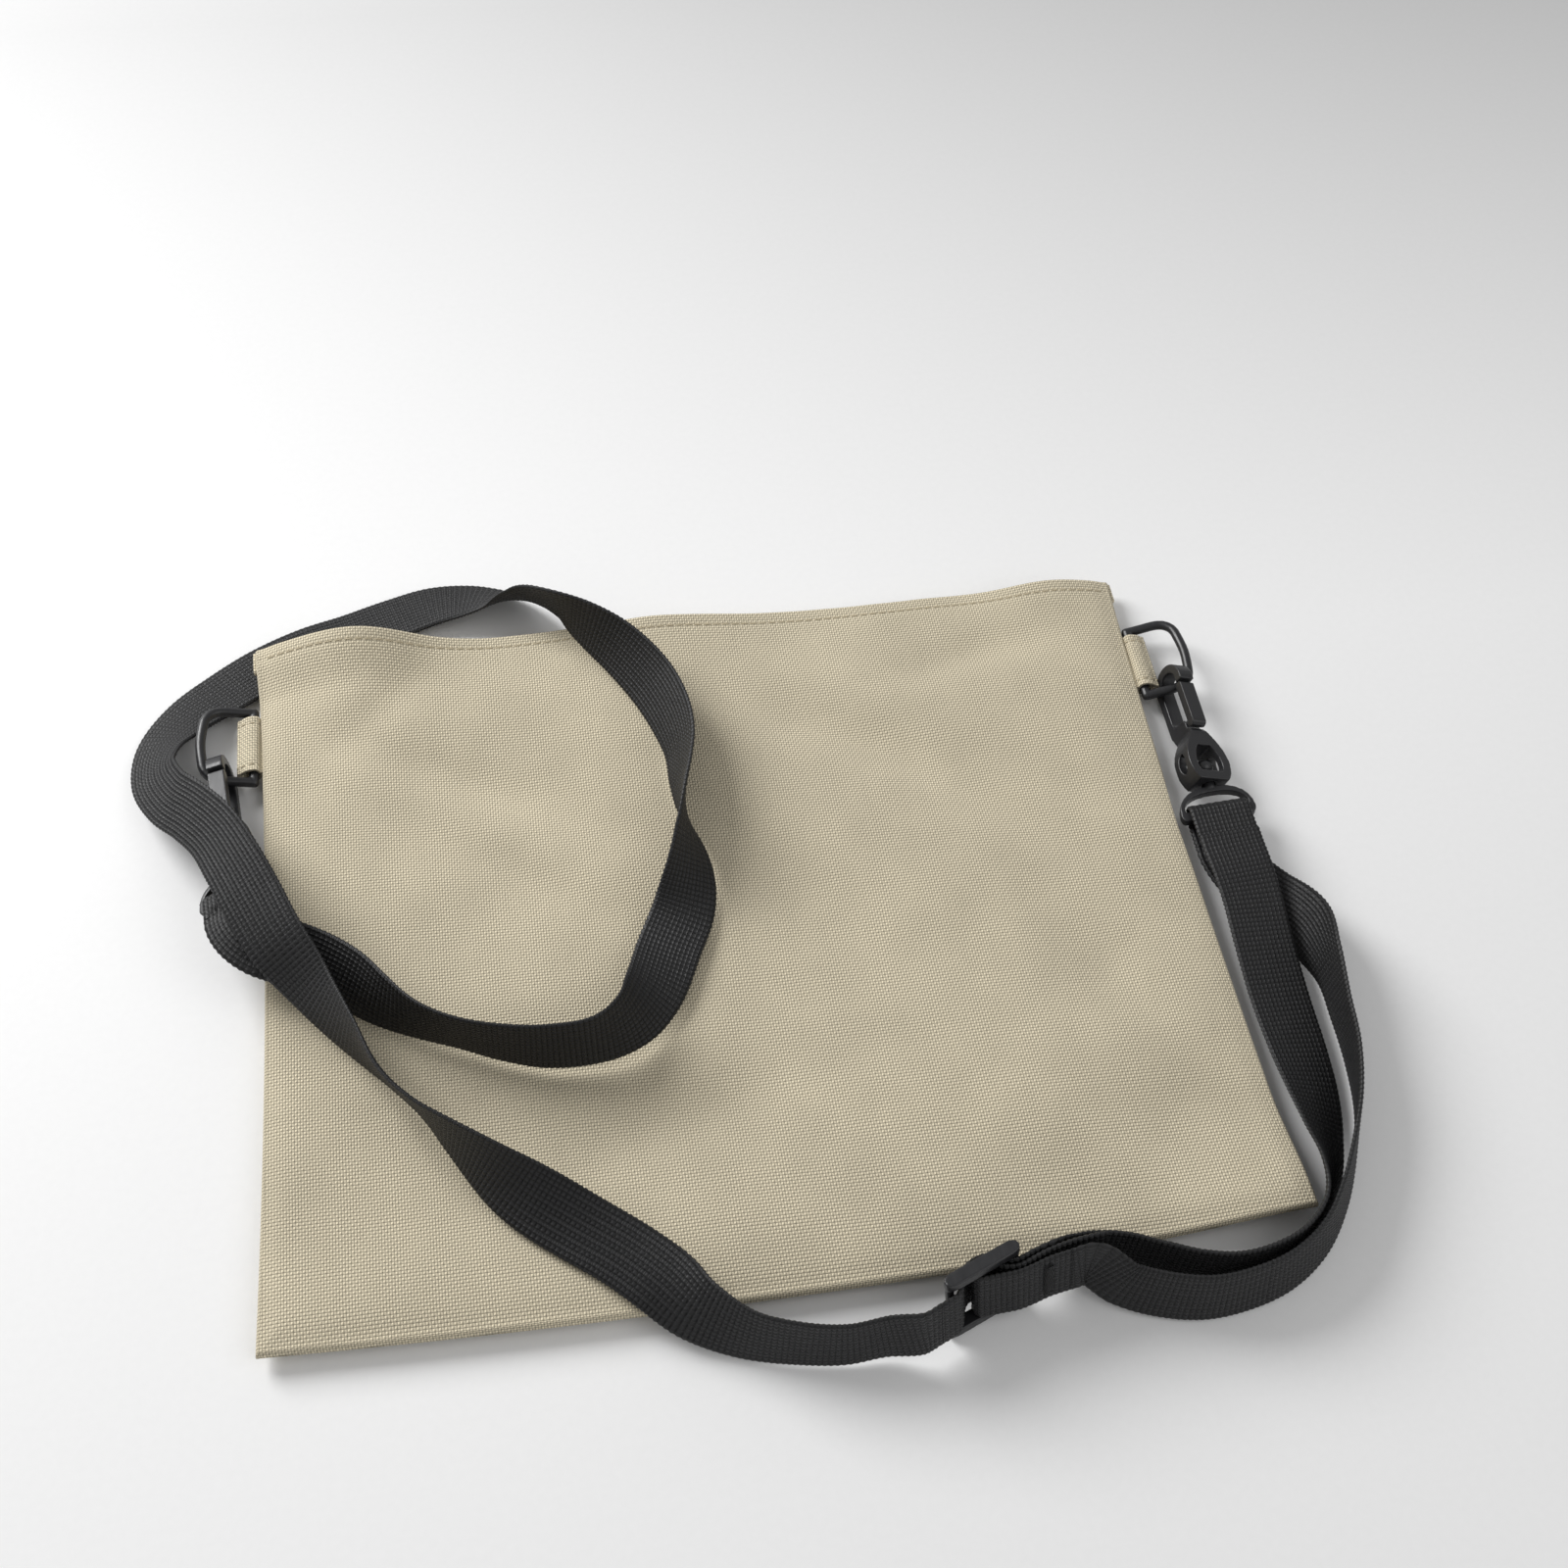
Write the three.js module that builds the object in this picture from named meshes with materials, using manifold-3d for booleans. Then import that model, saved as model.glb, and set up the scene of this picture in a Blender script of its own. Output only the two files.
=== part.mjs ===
// Flat fabric sling: an open-topped pouch, a fabric tab and a D-ring on each side, and a
// long webbing shoulder strap that clips to the rings with two swivel snap hooks.
// Millimetres, +Z up. The sling lies on its back: +X towards the right-hand ring,
// +Y towards the open mouth. The origin is on the resting plane.

import * as THREE from 'three';
import { mergeVertices } from 'three/addons/utils/BufferGeometryUtils.js';
import Module from 'manifold-3d';

// ---------------------------------------------------------------- driving dimensions

const POUCH = {
  halfWidth: 149.5,       // side seam to side seam is 299
  top: 118.5,             // mouth edge
  bottom: -119.5,         // bottom seam at the corners
  bottomBow: 3.5,         // how far the bottom seam bows out at its middle
  waist: 0.016,           // how much the sides draw in at mid height
  fabric: 1.0,            // one panel with its coating
  inside: 6.0,            // room between the panels away from the seams
  seamRise: 2.6,          // the seam stands this high above the resting plane
  seamReach: 9,           // how far in from the seam the back panel still rises
};
const SEAM = { thick: 1.1, clear: 0.8 };  // the turned-in edges inside the pouch
const TAB = { width: 22, reach: 8, base: 2.2, thick: 2.0, fabric: 0.95 };
const RING = { wire: 1.7, halfLength: 14, straight: 9.9, corner: 6.5, bow: 0.7, barX: 152, z: 5 };
const HOOK = {
  thick: 5.5,             // across the snap
  eyeY: 42,               // eye centre above the cup's bottom face
  eyeInner: 4.4,
  eyeOuter: 7.6,
  cupHalfDepth: 4.5,
  postRadius: 2.0,
  postHole: 2.4,
  crossbarY: -11.3,
  crossbarHalf: 1.6,
  loopHalfWidth: 12.6,
};
const WEB = { width: 20, thick: 1.3 };
const GAP = 0.35;                       // air left between pieces that touch
const TURN_RADIUS = 1.7 * Math.SQRT2 + GAP + WEB.thick / 2;
const TURN_TAIL = { left: 6.6, right: 8.7 };  // webbing beyond the crossbar's centre
const SLIDER = { halfLength: 12, halfHeight: 13.5, rail: 3.0, bar: 2.6, slotHalf: 10.4 };
const THREAD = 0.35;

// Where each hook and ring lies. Angles in degrees: lift raises the ring off the resting
// plane, pitch and yaw aim the hook, roll leans its gate side, loopRoll turns the swivel.
const SIDES = {
  left: {
    sign: -1, ringY: 82.6, eyeY: 69.4, lift: 16, pitch: -12, yaw: 8, roll: -8, loopRoll: -25,
  },
  right: {
    sign: 1, ringY: 82.0, eyeY: 68.6, lift: 16, pitch: 0, yaw: 0, roll: 18, loopRoll: -6,
  },
};
const EYE_OFFSET = 10.1;                // from the ring's bar to the wire inside the hook's eye
const SLIDER_PLACE = { x: 47.5, y: -132.5, z: 13.6, yaw: 21, lean: 75 };

// Routes of the webbing: x, y, z of its middle, then the tilt in degrees of its width
// above the horizontal. It runs from the left hook over the pouch, round behind the
// mouth, back over the pouch, through the slider and up to the right hook.
const MAIN_ROUTE = [
  [-154.98, 11.5, 23.38, 25], [-154.4, 7.3, 24.1, 25], [-151.6, 2.2, 24.1, 24],
  [-146.5, -2.2, 22.8, 22], [-139, -5.6, 21.0, 24], [-130.5, -10, 19.7, 32],
  [-121.5, -16, 19.0, 46], [-112.5, -24, 18.9, 64], [-102.5, -31.8, 19.5, 82],
  [-91, -38, 20.0, 89], [-78, -43, 19.9, 84], [-64.5, -46, 19.8, 77], [-50, -45.5, 19.7, 72],
  [-39.5, -39.5, 18.0, 54], [-32, -29, 14.8, 28], [-25, -13, 11.6, 8], [-19, -1, 13.0, 18],
  [-15.5, 11, 16.8, 42], [-14.5, 23, 19.2, 66], [-15, 35, 20.2, 94], [-14, 47, 19.8, 110],
  [-13, 59, 19.0, 118], [-15, 72, 18.1, 128], [-20, 86, 17.8, 133], [-29, 100, 18.8, 124],
  [-40, 111.5, 20.0, 102], [-49.5, 120.5, 19.6, 76], [-58, 129.5, 13.4, 56],
  [-67, 135, 7.4, 36], [-78, 138, 4.6, 20], [-91, 138, 3.2, 10], [-105, 134.5, 2.2, 6],
  [-120, 129.5, 1.5, 3], [-134.5, 125, 1.5, 2], [-149, 118, 1.6, 2], [-161.5, 109.5, 2.0, 5],
  [-173.5, 99, 3.6, 12], [-181.5, 86, 6.6, 24], [-182.5, 72, 11.0, 34], [-176.6, 57.9, 17.7, 38],
  [-168.3, 47.4, 23.2, 37], [-160.5, 36.5, 27.1, 34], [-153.9, 23.1, 29.5, 28], [-148.1, 10, 29.7, 25],
  [-140.7, -5.9, 27.9, 34], [-131.8, -19.2, 22.2, 55], [-121.5, -35, 20.4, 77],
  [-111.6, -50, 20.0, 98], [-103.3, -60.2, 20.0, 98], [-95.8, -68.8, 19.8, 84],
  [-86, -79, 18.8, 62], [-75, -88.5, 15.6, 34], [-62, -98, 12.3, 12], [-49.5, -107.5, 11.2, 7],
  [-40, -116.5, 11.4, 16], [-31, -126.5, 11.2, 44], [-19, -134.5, 10.3, 66], [-5, -139.2, 10.3, 74],
  [8, -141.4, 10.4, 76], [19, -141.2, 11.6, 76],
];
// The webbing inside the slider, in the slider's own frame: along it, and out of its front.
const THREADED = [
  [-15, 2.9], [-12.4, 2.9], [-9.4, 2.5], [-7.4, 0.7], [-5.8, -1.4], [-3.9, -3.2], [-1.2, -4.0],
  [1.8, -4.0], [4.6, -3.0], [6.4, -1.0], [8.4, 1.2], [10.9, 2.2], [15, 2.3],
];
const AFTER_SLIDER = [
  [73.2, -126.3, 12.6, 75], [80.5, -125.5, 11.4, 76], [90, -126.4, 10.5, 79], [100, -129.6, 10.4, 84],
  [110.5, -133.6, 10.4, 84], [121, -135.4, 10.4, 84], [132, -134.0, 10.4, 84],
  [142.6, -129.8, 10.4, 84], [152.2, -121.6, 10.2, 78], [158.2, -110, 9.2, 58],
  [160.6, -97, 7.6, 38], [162, -84, 6.2, 22], [162.2, -70, 5.6, 11], [162, -52, 5.8, 5],
  [162, -34, 8.0, 3], [162.4, -17, 10.0, 0], [162, -6, 11.2, -4], [161.7, 1.6, 11.2, -6], [161.7, 6.1, 11.3, -6],
];
const LEG_ROUTE = [
  [162.1, 6.1, 4.5, 6], [162.1, 1.6, 4.4, 6], [164.2, -5, 4.0, 8], [170.3, -15, 4.3, 16],
  [177.4, -28, 7.4, 46], [179, -44, 10.4, 82], [178, -60, 10.4, 92], [176.6, -76, 10.4, 96],
  [173.2, -91, 10.3, 102], [167.2, -105, 10.1, 106], [159.6, -118.4, 10.0, 108],
  [150, -130, 10.0, 108], [137.6, -138, 10.0, 108], [124, -141.8, 10.0, 108],
  [111, -142.6, 10.0, 108], [98, -139.8, 10.2, 108], [88, -135.8, 11.4, 107],
];

const COLORS = {
  fabric: { color: 0xcabd9f, roughness: 0.92, metalness: 0 },
  thread: { color: 0xb9a98a, roughness: 0.85, metalness: 0 },
  webbing: { color: 0x262626, roughness: 0.88, metalness: 0 },
  plastic: { color: 0x2b2b2d, roughness: 0.42, metalness: 0 },
  blackThread: { color: 0x1b1b1b, roughness: 0.85, metalness: 0 },
};

// ---------------------------------------------------------------- solids

const wasm = await Module();
wasm.setup();

function weld(geometry) {
  geometry.deleteAttribute('normal');
  geometry.deleteAttribute('uv');
  return mergeVertices(geometry, 1e-4);
}

function toSolid(geometry) {
  const welded = weld(geometry);
  return new wasm.Manifold(new wasm.Mesh({
    numProp: 3,
    vertProperties: new Float32Array(welded.attributes.position.array),
    triVerts: new Uint32Array(welded.index.array),
  }));
}

function fromSolid(solid) {
  const mesh = solid.getMesh();
  const geometry = new THREE.BufferGeometry();
  geometry.setAttribute('position', new THREE.BufferAttribute(mesh.vertProperties, 3));
  geometry.setIndex(new THREE.BufferAttribute(mesh.triVerts, 1));
  return geometry;
}

function join(...geometries) {
  return fromSolid(geometries.map(toSolid).reduce((whole, next) => whole.add(next)));
}

function cut(geometry, ...cutters) {
  return fromSolid(cutters.map(toSolid).reduce((rest, next) => rest.subtract(next), toSolid(geometry)));
}

const radians = THREE.MathUtils.degToRad;

function smooth(value) {
  return THREE.MathUtils.smoothstep(value, 0, 1);
}

function bump(value, middle, spread) {
  return Math.exp(-(((value - middle) / spread) ** 2));
}

function material(kind) {
  return new THREE.MeshStandardMaterial(COLORS[kind]);
}

const sling = new THREE.Group();

function addPiece(name, geometry, kind, parent = sling) {
  const mesh = new THREE.Mesh(geometry, material(kind));
  mesh.name = name;
  parent.add(mesh);
  return mesh;
}

// ---------------------------------------------------------------- pouch

function bottomEdge(x) {
  return POUCH.bottom - POUCH.bottomBow * (1 - (x / POUCH.halfWidth) ** 2);
}

// How near a point is to a closed seam: 1 on the seam, 0 well inside the pouch.
function seamNearness(x, y) {
  const fromSide = POUCH.halfWidth - Math.abs(x);
  const fromBottom = y - bottomEdge(x);
  const reach = POUCH.seamReach;
  return Math.max(Math.exp(-((fromSide / reach) ** 2)), Math.exp(-((fromBottom / reach) ** 2)));
}

// Two corners are held up: the webbing runs under one and leans on the other.
function cornerLift(x, y) {
  const mouthCorner = 4.5 * smooth((-x - 88) / 45) * smooth((y - 98) / 18);
  const footCorner = 4.5 * smooth((x - 100) / 45) * smooth((-y - 82) / 34);
  return mouthCorner + footCorner;
}

function mouthWave(x, y) {
  const height = 10 * bump(x, -115, 24) + 3 * bump(x, -12, 30) + 4 * bump(x, 128, 18);
  return height * Math.exp(-(POUCH.top - y) / 38);
}

function backUnderside(x, y) {
  return POUCH.seamRise * seamNearness(x, y) + cornerLift(x, y);
}

function frontUnderside(x, y) {
  const level = POUCH.fabric + POUCH.inside - 0.6 * seamNearness(x, y);
  return level + cornerLift(x, y) + mouthWave(x, y);
}

// A thin closed sheet: a box bent over a surface. place(u, v) gives the plan position.
function sheet(columns, rows, place, underside, thickness) {
  const geometry = new THREE.BoxGeometry(2, 2, 1, columns, rows, 1);
  const position = geometry.attributes.position;
  for (let i = 0; i < position.count; i += 1) {
    const [x, y] = place(position.getX(i), position.getY(i));
    position.setXYZ(i, x, y, underside(x, y) + (position.getZ(i) + 0.5) * thickness);
  }
  return weld(geometry);
}

// Spreads the grid lines so that they lie closer together near the seams.
function crowdEdges(s) {
  return 0.45 * s + 0.55 * s * (1.5 - 0.5 * s * s);
}

function pouchPlan(u, v) {
  const height = crowdEdges(v);
  const x = POUCH.halfWidth * crowdEdges(u) * (1 - POUCH.waist * (1 - height * height));
  const y = THREE.MathUtils.lerp(bottomEdge(x), POUCH.top, (height + 1) / 2);
  return [x, y];
}

function seamSheet(place, columns, rows) {
  const underside = (x, y) => backUnderside(x, y) + POUCH.fabric + SEAM.clear;
  return sheet(columns, rows, place, underside, SEAM.thick);
}

function buildPouch() {
  addPiece('back_panel', sheet(20, 18, pouchPlan, backUnderside, POUCH.fabric), 'fabric');
  addPiece('front_panel', sheet(24, 20, pouchPlan, frontUnderside, POUCH.fabric), 'fabric');
  for (const [name, sign] of [['left_seam', -1], ['right_seam', 1]]) {
    const place = (u, v) => [
      sign * (POUCH.halfWidth - 7.2) + 2.4 * u,
      THREE.MathUtils.lerp(POUCH.bottom + 12, POUCH.top - 4, (v + 1) / 2),
    ];
    addPiece(name, seamSheet(place, 2, 16), 'fabric');
  }
  const acrossBottom = (u, v) => {
    const x = (POUCH.halfWidth - 3) * u;
    return [x, bottomEdge(x) + 6.2 + 2.4 * v];
  };
  addPiece('bottom_seam', seamSheet(acrossBottom, 20, 2), 'fabric');
}

// A thread laid along a line as one thin closed rod.
function thread(points, radius, sides = 6) {
  const outline = new THREE.Shape();
  outline.absarc(0, 0, radius, 0, Math.PI * 2, false);
  const path = new THREE.CatmullRomCurve3(points, false, 'centripetal');
  const steps = points.length - 1;
  const settings = { steps, extrudePath: path, curveSegments: sides / 2 };
  return weld(new THREE.ExtrudeGeometry(outline, settings));
}

function hemStitch(surface) {
  const points = [];
  for (let x = -141; x <= 141; x += 9.4) {
    const y = POUCH.top - 3.4;
    points.push(new THREE.Vector3(x, y, surface(x, y) + POUCH.fabric + THREAD + GAP));
  }
  return thread(points, THREAD);
}

// ---------------------------------------------------------------- tabs and rings

// Side view of a tab: sewn into the seam, open round the ring's bar, folded at its tip.
function tabSection() {
  const half = TAB.thick / 2;
  const bar = RING.barX - POUCH.halfWidth;
  const hollow = RING.wire + GAP;
  const outer = hollow + TAB.fabric;
  const tip = TAB.reach;
  const outline = new THREE.Shape();
  outline.moveTo(-TAB.base, -half);
  outline.lineTo(0.3, -half);
  outline.quadraticCurveTo(0.5, -outer, bar, -outer);
  outline.quadraticCurveTo(bar + 2.4, -outer, tip - 1.4, -half - 0.1);
  outline.quadraticCurveTo(tip, -half, tip, 0);
  outline.quadraticCurveTo(tip, half, tip - 1.4, half + 0.1);
  outline.quadraticCurveTo(bar + 2.4, outer, bar, outer);
  outline.quadraticCurveTo(0.5, outer, 0.3, half);
  outline.lineTo(-TAB.base, half);
  const cavity = new THREE.Path();
  cavity.moveTo(bar, -hollow);
  cavity.quadraticCurveTo(bar + 2.2, -hollow + 0.2, bar + 3.6, 0);
  cavity.quadraticCurveTo(bar + 2.2, hollow - 0.2, bar, hollow);
  cavity.absarc(bar, 0, hollow, Math.PI / 2, Math.PI * 1.5, false);
  outline.holes.push(cavity);
  return outline;
}

function buildTab(side, place) {
  const section = new THREE.ExtrudeGeometry(tabSection(), {
    depth: TAB.width, bevelEnabled: false, curveSegments: 6,
  });
  section.translate(0, 0, -TAB.width / 2);
  section.rotateX(Math.PI / 2);
  const tab = addPiece(`${side}_tab`, weld(section), 'fabric');
  tab.position.set(place.sign * POUCH.halfWidth, place.ringY, RING.z);
  tab.rotation.z = place.sign > 0 ? 0 : Math.PI;

  const edge = TAB.width / 2 - 2.6;
  const crown = RING.wire + GAP + TAB.fabric + THREAD + 0.5;
  const rows = [
    [0.6, -edge, crown - 0.5], [2.5, -edge, crown], [4.6, -edge, crown - 0.5],
    [6.4, -edge, crown - 1.0], [6.6, 0, crown - 1.1], [6.4, edge, crown - 1.0],
    [4.6, edge, crown - 0.5], [2.5, edge, crown], [0.6, edge, crown - 0.5],
  ];
  const points = rows.map(([x, y, z]) => new THREE.Vector3(x, y, z));
  const stitch = addPiece(`${side}_tab_stitch`, thread(points, THREAD), 'thread');
  stitch.position.copy(tab.position);
  stitch.rotation.copy(tab.rotation);
}

// Half of the bow, from the end of the bar out along one arm and round the corner.
function bowHalf(end) {
  const reach = RING.straight + RING.corner;
  const points = [[0, RING.halfLength], [RING.straight * 0.5, RING.halfLength]];
  for (let degrees = 0; degrees <= 90; degrees += 22.5) {
    const angle = radians(degrees);
    points.push([
      RING.straight + RING.corner * Math.sin(angle),
      RING.halfLength - RING.corner * (1 - Math.cos(angle)),
    ]);
  }
  points.push([reach + RING.bow, 0]);
  return points.map(([x, y]) => new THREE.Vector3(x, end * y, 0));
}

function ringGeometry() {
  const far = bowHalf(1);
  const near = bowHalf(-1).slice(0, -1);
  const outline = new THREE.Shape();
  outline.absarc(0, 0, RING.wire, 0, Math.PI * 2, false);
  const bow = new THREE.ExtrudeGeometry(outline, {
    steps: 30, curveSegments: 5, extrudePath: new THREE.CatmullRomCurve3([...near, ...far.reverse()]),
  });
  const bar = new THREE.CylinderGeometry(RING.wire, RING.wire, RING.halfLength * 2, 10);
  const ends = [-1, 1].map((end) => {
    const corner = new THREE.SphereGeometry(RING.wire * 1.02, 10, 8);
    return corner.translate(0, end * RING.halfLength, 0);
  });
  return join(bow, bar, ...ends);
}

function buildRing(side, place) {
  const ring = addPiece(`${side}_ring`, ringGeometry(), 'plastic');
  ring.position.set(place.sign * RING.barX, place.ringY, RING.z);
  ring.rotation.order = 'YZX';
  ring.rotation.y = -place.sign * radians(place.lift);
  ring.rotation.z = place.sign > 0 ? 0 : Math.PI;
}

// ---------------------------------------------------------------- snap hooks

// Hook pieces are drawn in their own frame: x across the snap, y from the swivel to the
// nose, z from the spine to the gate. This turns a side view drawn in (y, z) into place.
function fromSideView(shape, depth, curveSegments = 8) {
  const geometry = new THREE.ExtrudeGeometry(shape, { depth, bevelEnabled: false, curveSegments });
  geometry.translate(0, 0, -depth / 2);
  const basis = new THREE.Matrix4().makeBasis(
    new THREE.Vector3(0, 1, 0), new THREE.Vector3(0, 0, 1), new THREE.Vector3(1, 0, 0),
  );
  return geometry.applyMatrix4(basis);
}

const NOSE_TIP_Y = 40.2;
const GATE = { pivotY: 23.5, pivotZ: 4.6, boss: 1.9, tipY: 39.7, under: 3.3, over: 6.6 };

// The snap seen from the side: spine, round eye, nose and the seat of the gate.
function snapSide() {
  const outline = new THREE.Shape();
  const tipAngle = Math.asin((NOSE_TIP_Y - HOOK.eyeY) / HOOK.eyeOuter);
  const innerTip = Math.asin((NOSE_TIP_Y - HOOK.eyeY) / HOOK.eyeInner);
  outline.moveTo(15, -4.0);
  outline.lineTo(24, -HOOK.eyeOuter + 0.3);
  outline.lineTo(HOOK.eyeY, -HOOK.eyeOuter);
  outline.absarc(HOOK.eyeY, 0, HOOK.eyeOuter, -Math.PI / 2, Math.PI / 2 - tipAngle, false);
  outline.lineTo(NOSE_TIP_Y, HOOK.eyeInner * Math.cos(innerTip));
  outline.absarc(HOOK.eyeY, 0, HOOK.eyeInner, Math.PI / 2 - innerTip, -Math.PI / 2, true);
  outline.lineTo(29, -HOOK.eyeInner);
  outline.quadraticCurveTo(26.2, -HOOK.eyeInner, 26.2, -1.2);
  outline.lineTo(26.2, 1.2);
  outline.absarc(GATE.pivotY, GATE.pivotZ, GATE.boss + GAP + 0.2, -1.25, -Math.PI + 0.35, true);
  outline.lineTo(19.6, 4.6);
  outline.lineTo(15, 4.2);
  return outline;
}

function cupOutline() {
  const outline = new THREE.Shape();
  outline.moveTo(-5.6, 0);
  outline.lineTo(5.6, 0);
  outline.bezierCurveTo(7.6, 2.2, 8.2, 5, 8, 8.5);
  outline.bezierCurveTo(7.7, 13, 5.4, 16.5, 3, 20);
  outline.lineTo(-3, 20);
  outline.bezierCurveTo(-5.4, 16.5, -7.7, 13, -8, 8.5);
  outline.bezierCurveTo(-8.2, 5, -7.6, 2.2, -5.6, 0);
  const chamber = new THREE.Path();
  chamber.moveTo(-4.4, 3.6);
  chamber.bezierCurveTo(-5.4, 6, -5.2, 10, -2.6, 14);
  chamber.lineTo(2.6, 14);
  chamber.bezierCurveTo(5.2, 10, 5.4, 6, 4.4, 3.6);
  outline.holes.push(chamber);
  return outline;
}

function hookBody() {
  const depth = HOOK.cupHalfDepth * 2;
  const cup = new THREE.ExtrudeGeometry(cupOutline(), { depth, bevelEnabled: false, curveSegments: 5 });
  cup.translate(0, 0, -HOOK.cupHalfDepth);
  const window = new THREE.CylinderGeometry(1.9, 1.9, 20, 12);
  window.scale(1, 1, 1);
  window.rotateZ(Math.PI / 2);
  window.scale(1, 2.1, 1);
  window.translate(0, 8.2, 0);
  const hole = new THREE.CylinderGeometry(HOOK.postHole, HOOK.postHole, 8, 16);
  hole.translate(0, 1, 0);
  return cut(join(cup, fromSideView(snapSide(), HOOK.thick)), window, hole);
}

// The gate is a straight lever with a round boss that turns in a seat of the shank.
function gateGeometry() {
  const lever = new THREE.Shape();
  lever.moveTo(GATE.pivotY + 0.6, GATE.under);
  lever.lineTo(GATE.tipY - 0.5, GATE.under);
  lever.lineTo(GATE.tipY, GATE.under + 0.6);
  lever.lineTo(GATE.tipY, GATE.over - 0.8);
  lever.lineTo(GATE.tipY - 0.8, GATE.over);
  lever.lineTo(GATE.pivotY, GATE.pivotZ + GATE.boss);
  const boss = new THREE.CylinderGeometry(GATE.boss, GATE.boss, HOOK.thick, 14);
  boss.rotateZ(Math.PI / 2);
  boss.translate(0, GATE.pivotY, GATE.pivotZ);
  return join(fromSideView(lever, HOOK.thick), boss);
}

// The strap loop: a flat arch over a crossbar, on a post with a head that turns in the cup.
function swivelGeometry() {
  const half = HOOK.loopHalfWidth;
  const foot = HOOK.crossbarY - 1.7;
  const outline = new THREE.Shape();
  outline.moveTo(-half + 1.6, foot);
  outline.lineTo(half - 1.6, foot);
  outline.quadraticCurveTo(half, foot, half, foot + 2.4);
  outline.bezierCurveTo(half, -4.4, 7.5, -0.7, 0, -0.7);
  outline.bezierCurveTo(-7.5, -0.7, -half, -4.4, -half, foot + 2.4);
  outline.quadraticCurveTo(-half, foot, -half + 1.6, foot);
  const opening = new THREE.Path();
  const sill = HOOK.crossbarY + HOOK.crossbarHalf;
  const inner = half - 1.7;
  opening.moveTo(-inner, sill);
  opening.bezierCurveTo(-inner, -5.0, -6.5, -3.2, 0, -3.2);
  opening.bezierCurveTo(6.5, -3.2, inner, -5.0, inner, sill);
  outline.holes.push(opening);
  const depth = HOOK.crossbarHalf * 2;
  const loop = new THREE.ExtrudeGeometry(outline, { depth, bevelEnabled: false, curveSegments: 7 });
  loop.translate(0, 0, -HOOK.crossbarHalf);
  const post = new THREE.CylinderGeometry(HOOK.postRadius, HOOK.postRadius, 7.4, 16);
  post.translate(0, 2.2, 0);
  const head = new THREE.SphereGeometry(3.4, 16, 10);
  head.scale(1, 0.8, 1);
  head.translate(0, 7.0, 0);
  return join(loop, post, head);
}

// A strip of webbing bent in one plane: an open line given thickness, then its width.
function band(points, thickness, width) {
  const line = new THREE.SplineCurve(points.map(([a, b]) => new THREE.Vector2(a, b)));
  const count = points.length * 3;
  const sides = [[], []];
  for (let i = 0; i <= count; i += 1) {
    const middle = line.getPoint(i / count);
    const along = line.getTangent(i / count);
    const out = new THREE.Vector2(-along.y, along.x).multiplyScalar(thickness / 2);
    sides[0].push(middle.clone().add(out));
    sides[1].unshift(middle.clone().sub(out));
  }
  const shape = new THREE.Shape([...sides[0], ...sides[1]]);
  const geometry = new THREE.ExtrudeGeometry(shape, { depth: width, bevelEnabled: false });
  return geometry.translate(0, 0, -width / 2);
}

// The same strip in the slider's frame, where the width of the webbing runs along y.
function slideBand(points) {
  return weld(band(points, WEB.thick, WEB.width).rotateX(Math.PI / 2));
}

// Webbing folded round a crossbar, with two flat ends lying one over the other.
function turnPoints(lowerTail, upperTail) {
  const bar = HOOK.crossbarY;
  const points = [[bar - lowerTail, -TURN_RADIUS], [bar - lowerTail / 2, -TURN_RADIUS]];
  for (let degrees = -90; degrees <= 90; degrees += 30) {
    const angle = radians(degrees);
    points.push([bar + TURN_RADIUS * Math.cos(angle), TURN_RADIUS * Math.sin(angle)]);
  }
  points.push([bar - upperTail / 2, TURN_RADIUS], [bar - upperTail, TURN_RADIUS]);
  return points;
}

function strapTurn(lowerTail, upperTail) {
  const geometry = band(turnPoints(lowerTail, upperTail), WEB.thick, WEB.width);
  const basis = new THREE.Matrix4().makeBasis(
    new THREE.Vector3(0, 1, 0), new THREE.Vector3(0, 0, 1), new THREE.Vector3(1, 0, 0),
  );
  return weld(geometry.applyMatrix4(basis));
}

function buildHook(side, place) {
  const lift = radians(place.lift);
  const eye = new THREE.Vector3(
    place.sign * (RING.barX + EYE_OFFSET * Math.cos(lift)),
    place.eyeY,
    RING.z + EYE_OFFSET * Math.sin(lift),
  );
  const frame = new THREE.Group();
  frame.rotation.set(radians(place.pitch), 0, radians(place.yaw), 'ZXY');
  const reach = new THREE.Vector3(0, HOOK.eyeY, 0).applyEuler(frame.rotation);
  frame.position.copy(eye.sub(reach));
  sling.add(frame);

  const snap = new THREE.Group();
  snap.rotation.y = radians(place.roll);
  frame.add(snap);
  addPiece(`${side}_hook_body`, hookBody(), 'plastic', snap);
  addPiece(`${side}_gate`, weld(gateGeometry()), 'plastic', snap);

  const swivel = new THREE.Group();
  swivel.rotation.y = radians(place.loopRoll);
  frame.add(swivel);
  addPiece(`${side}_swivel`, swivelGeometry(), 'plastic', swivel);
  const sewn = place.sign < 0;
  const turn = strapTurn(TURN_TAIL[side], TURN_TAIL[side]);
  addPiece(sewn ? 'left_strap_end' : 'right_strap_turn', turn, 'webbing', swivel);
  if (sewn) {
    const tack = new THREE.BoxGeometry(14, 3.2, 0.6, 1, 1, 1);
    tack.translate(0, HOOK.crossbarY - TURN_TAIL[side] + 1.9, TURN_RADIUS + WEB.thick / 2 + 0.65);
    addPiece('left_bar_tack', weld(tack), 'blackThread', swivel);
  }
}

// ---------------------------------------------------------------- slider

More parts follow.
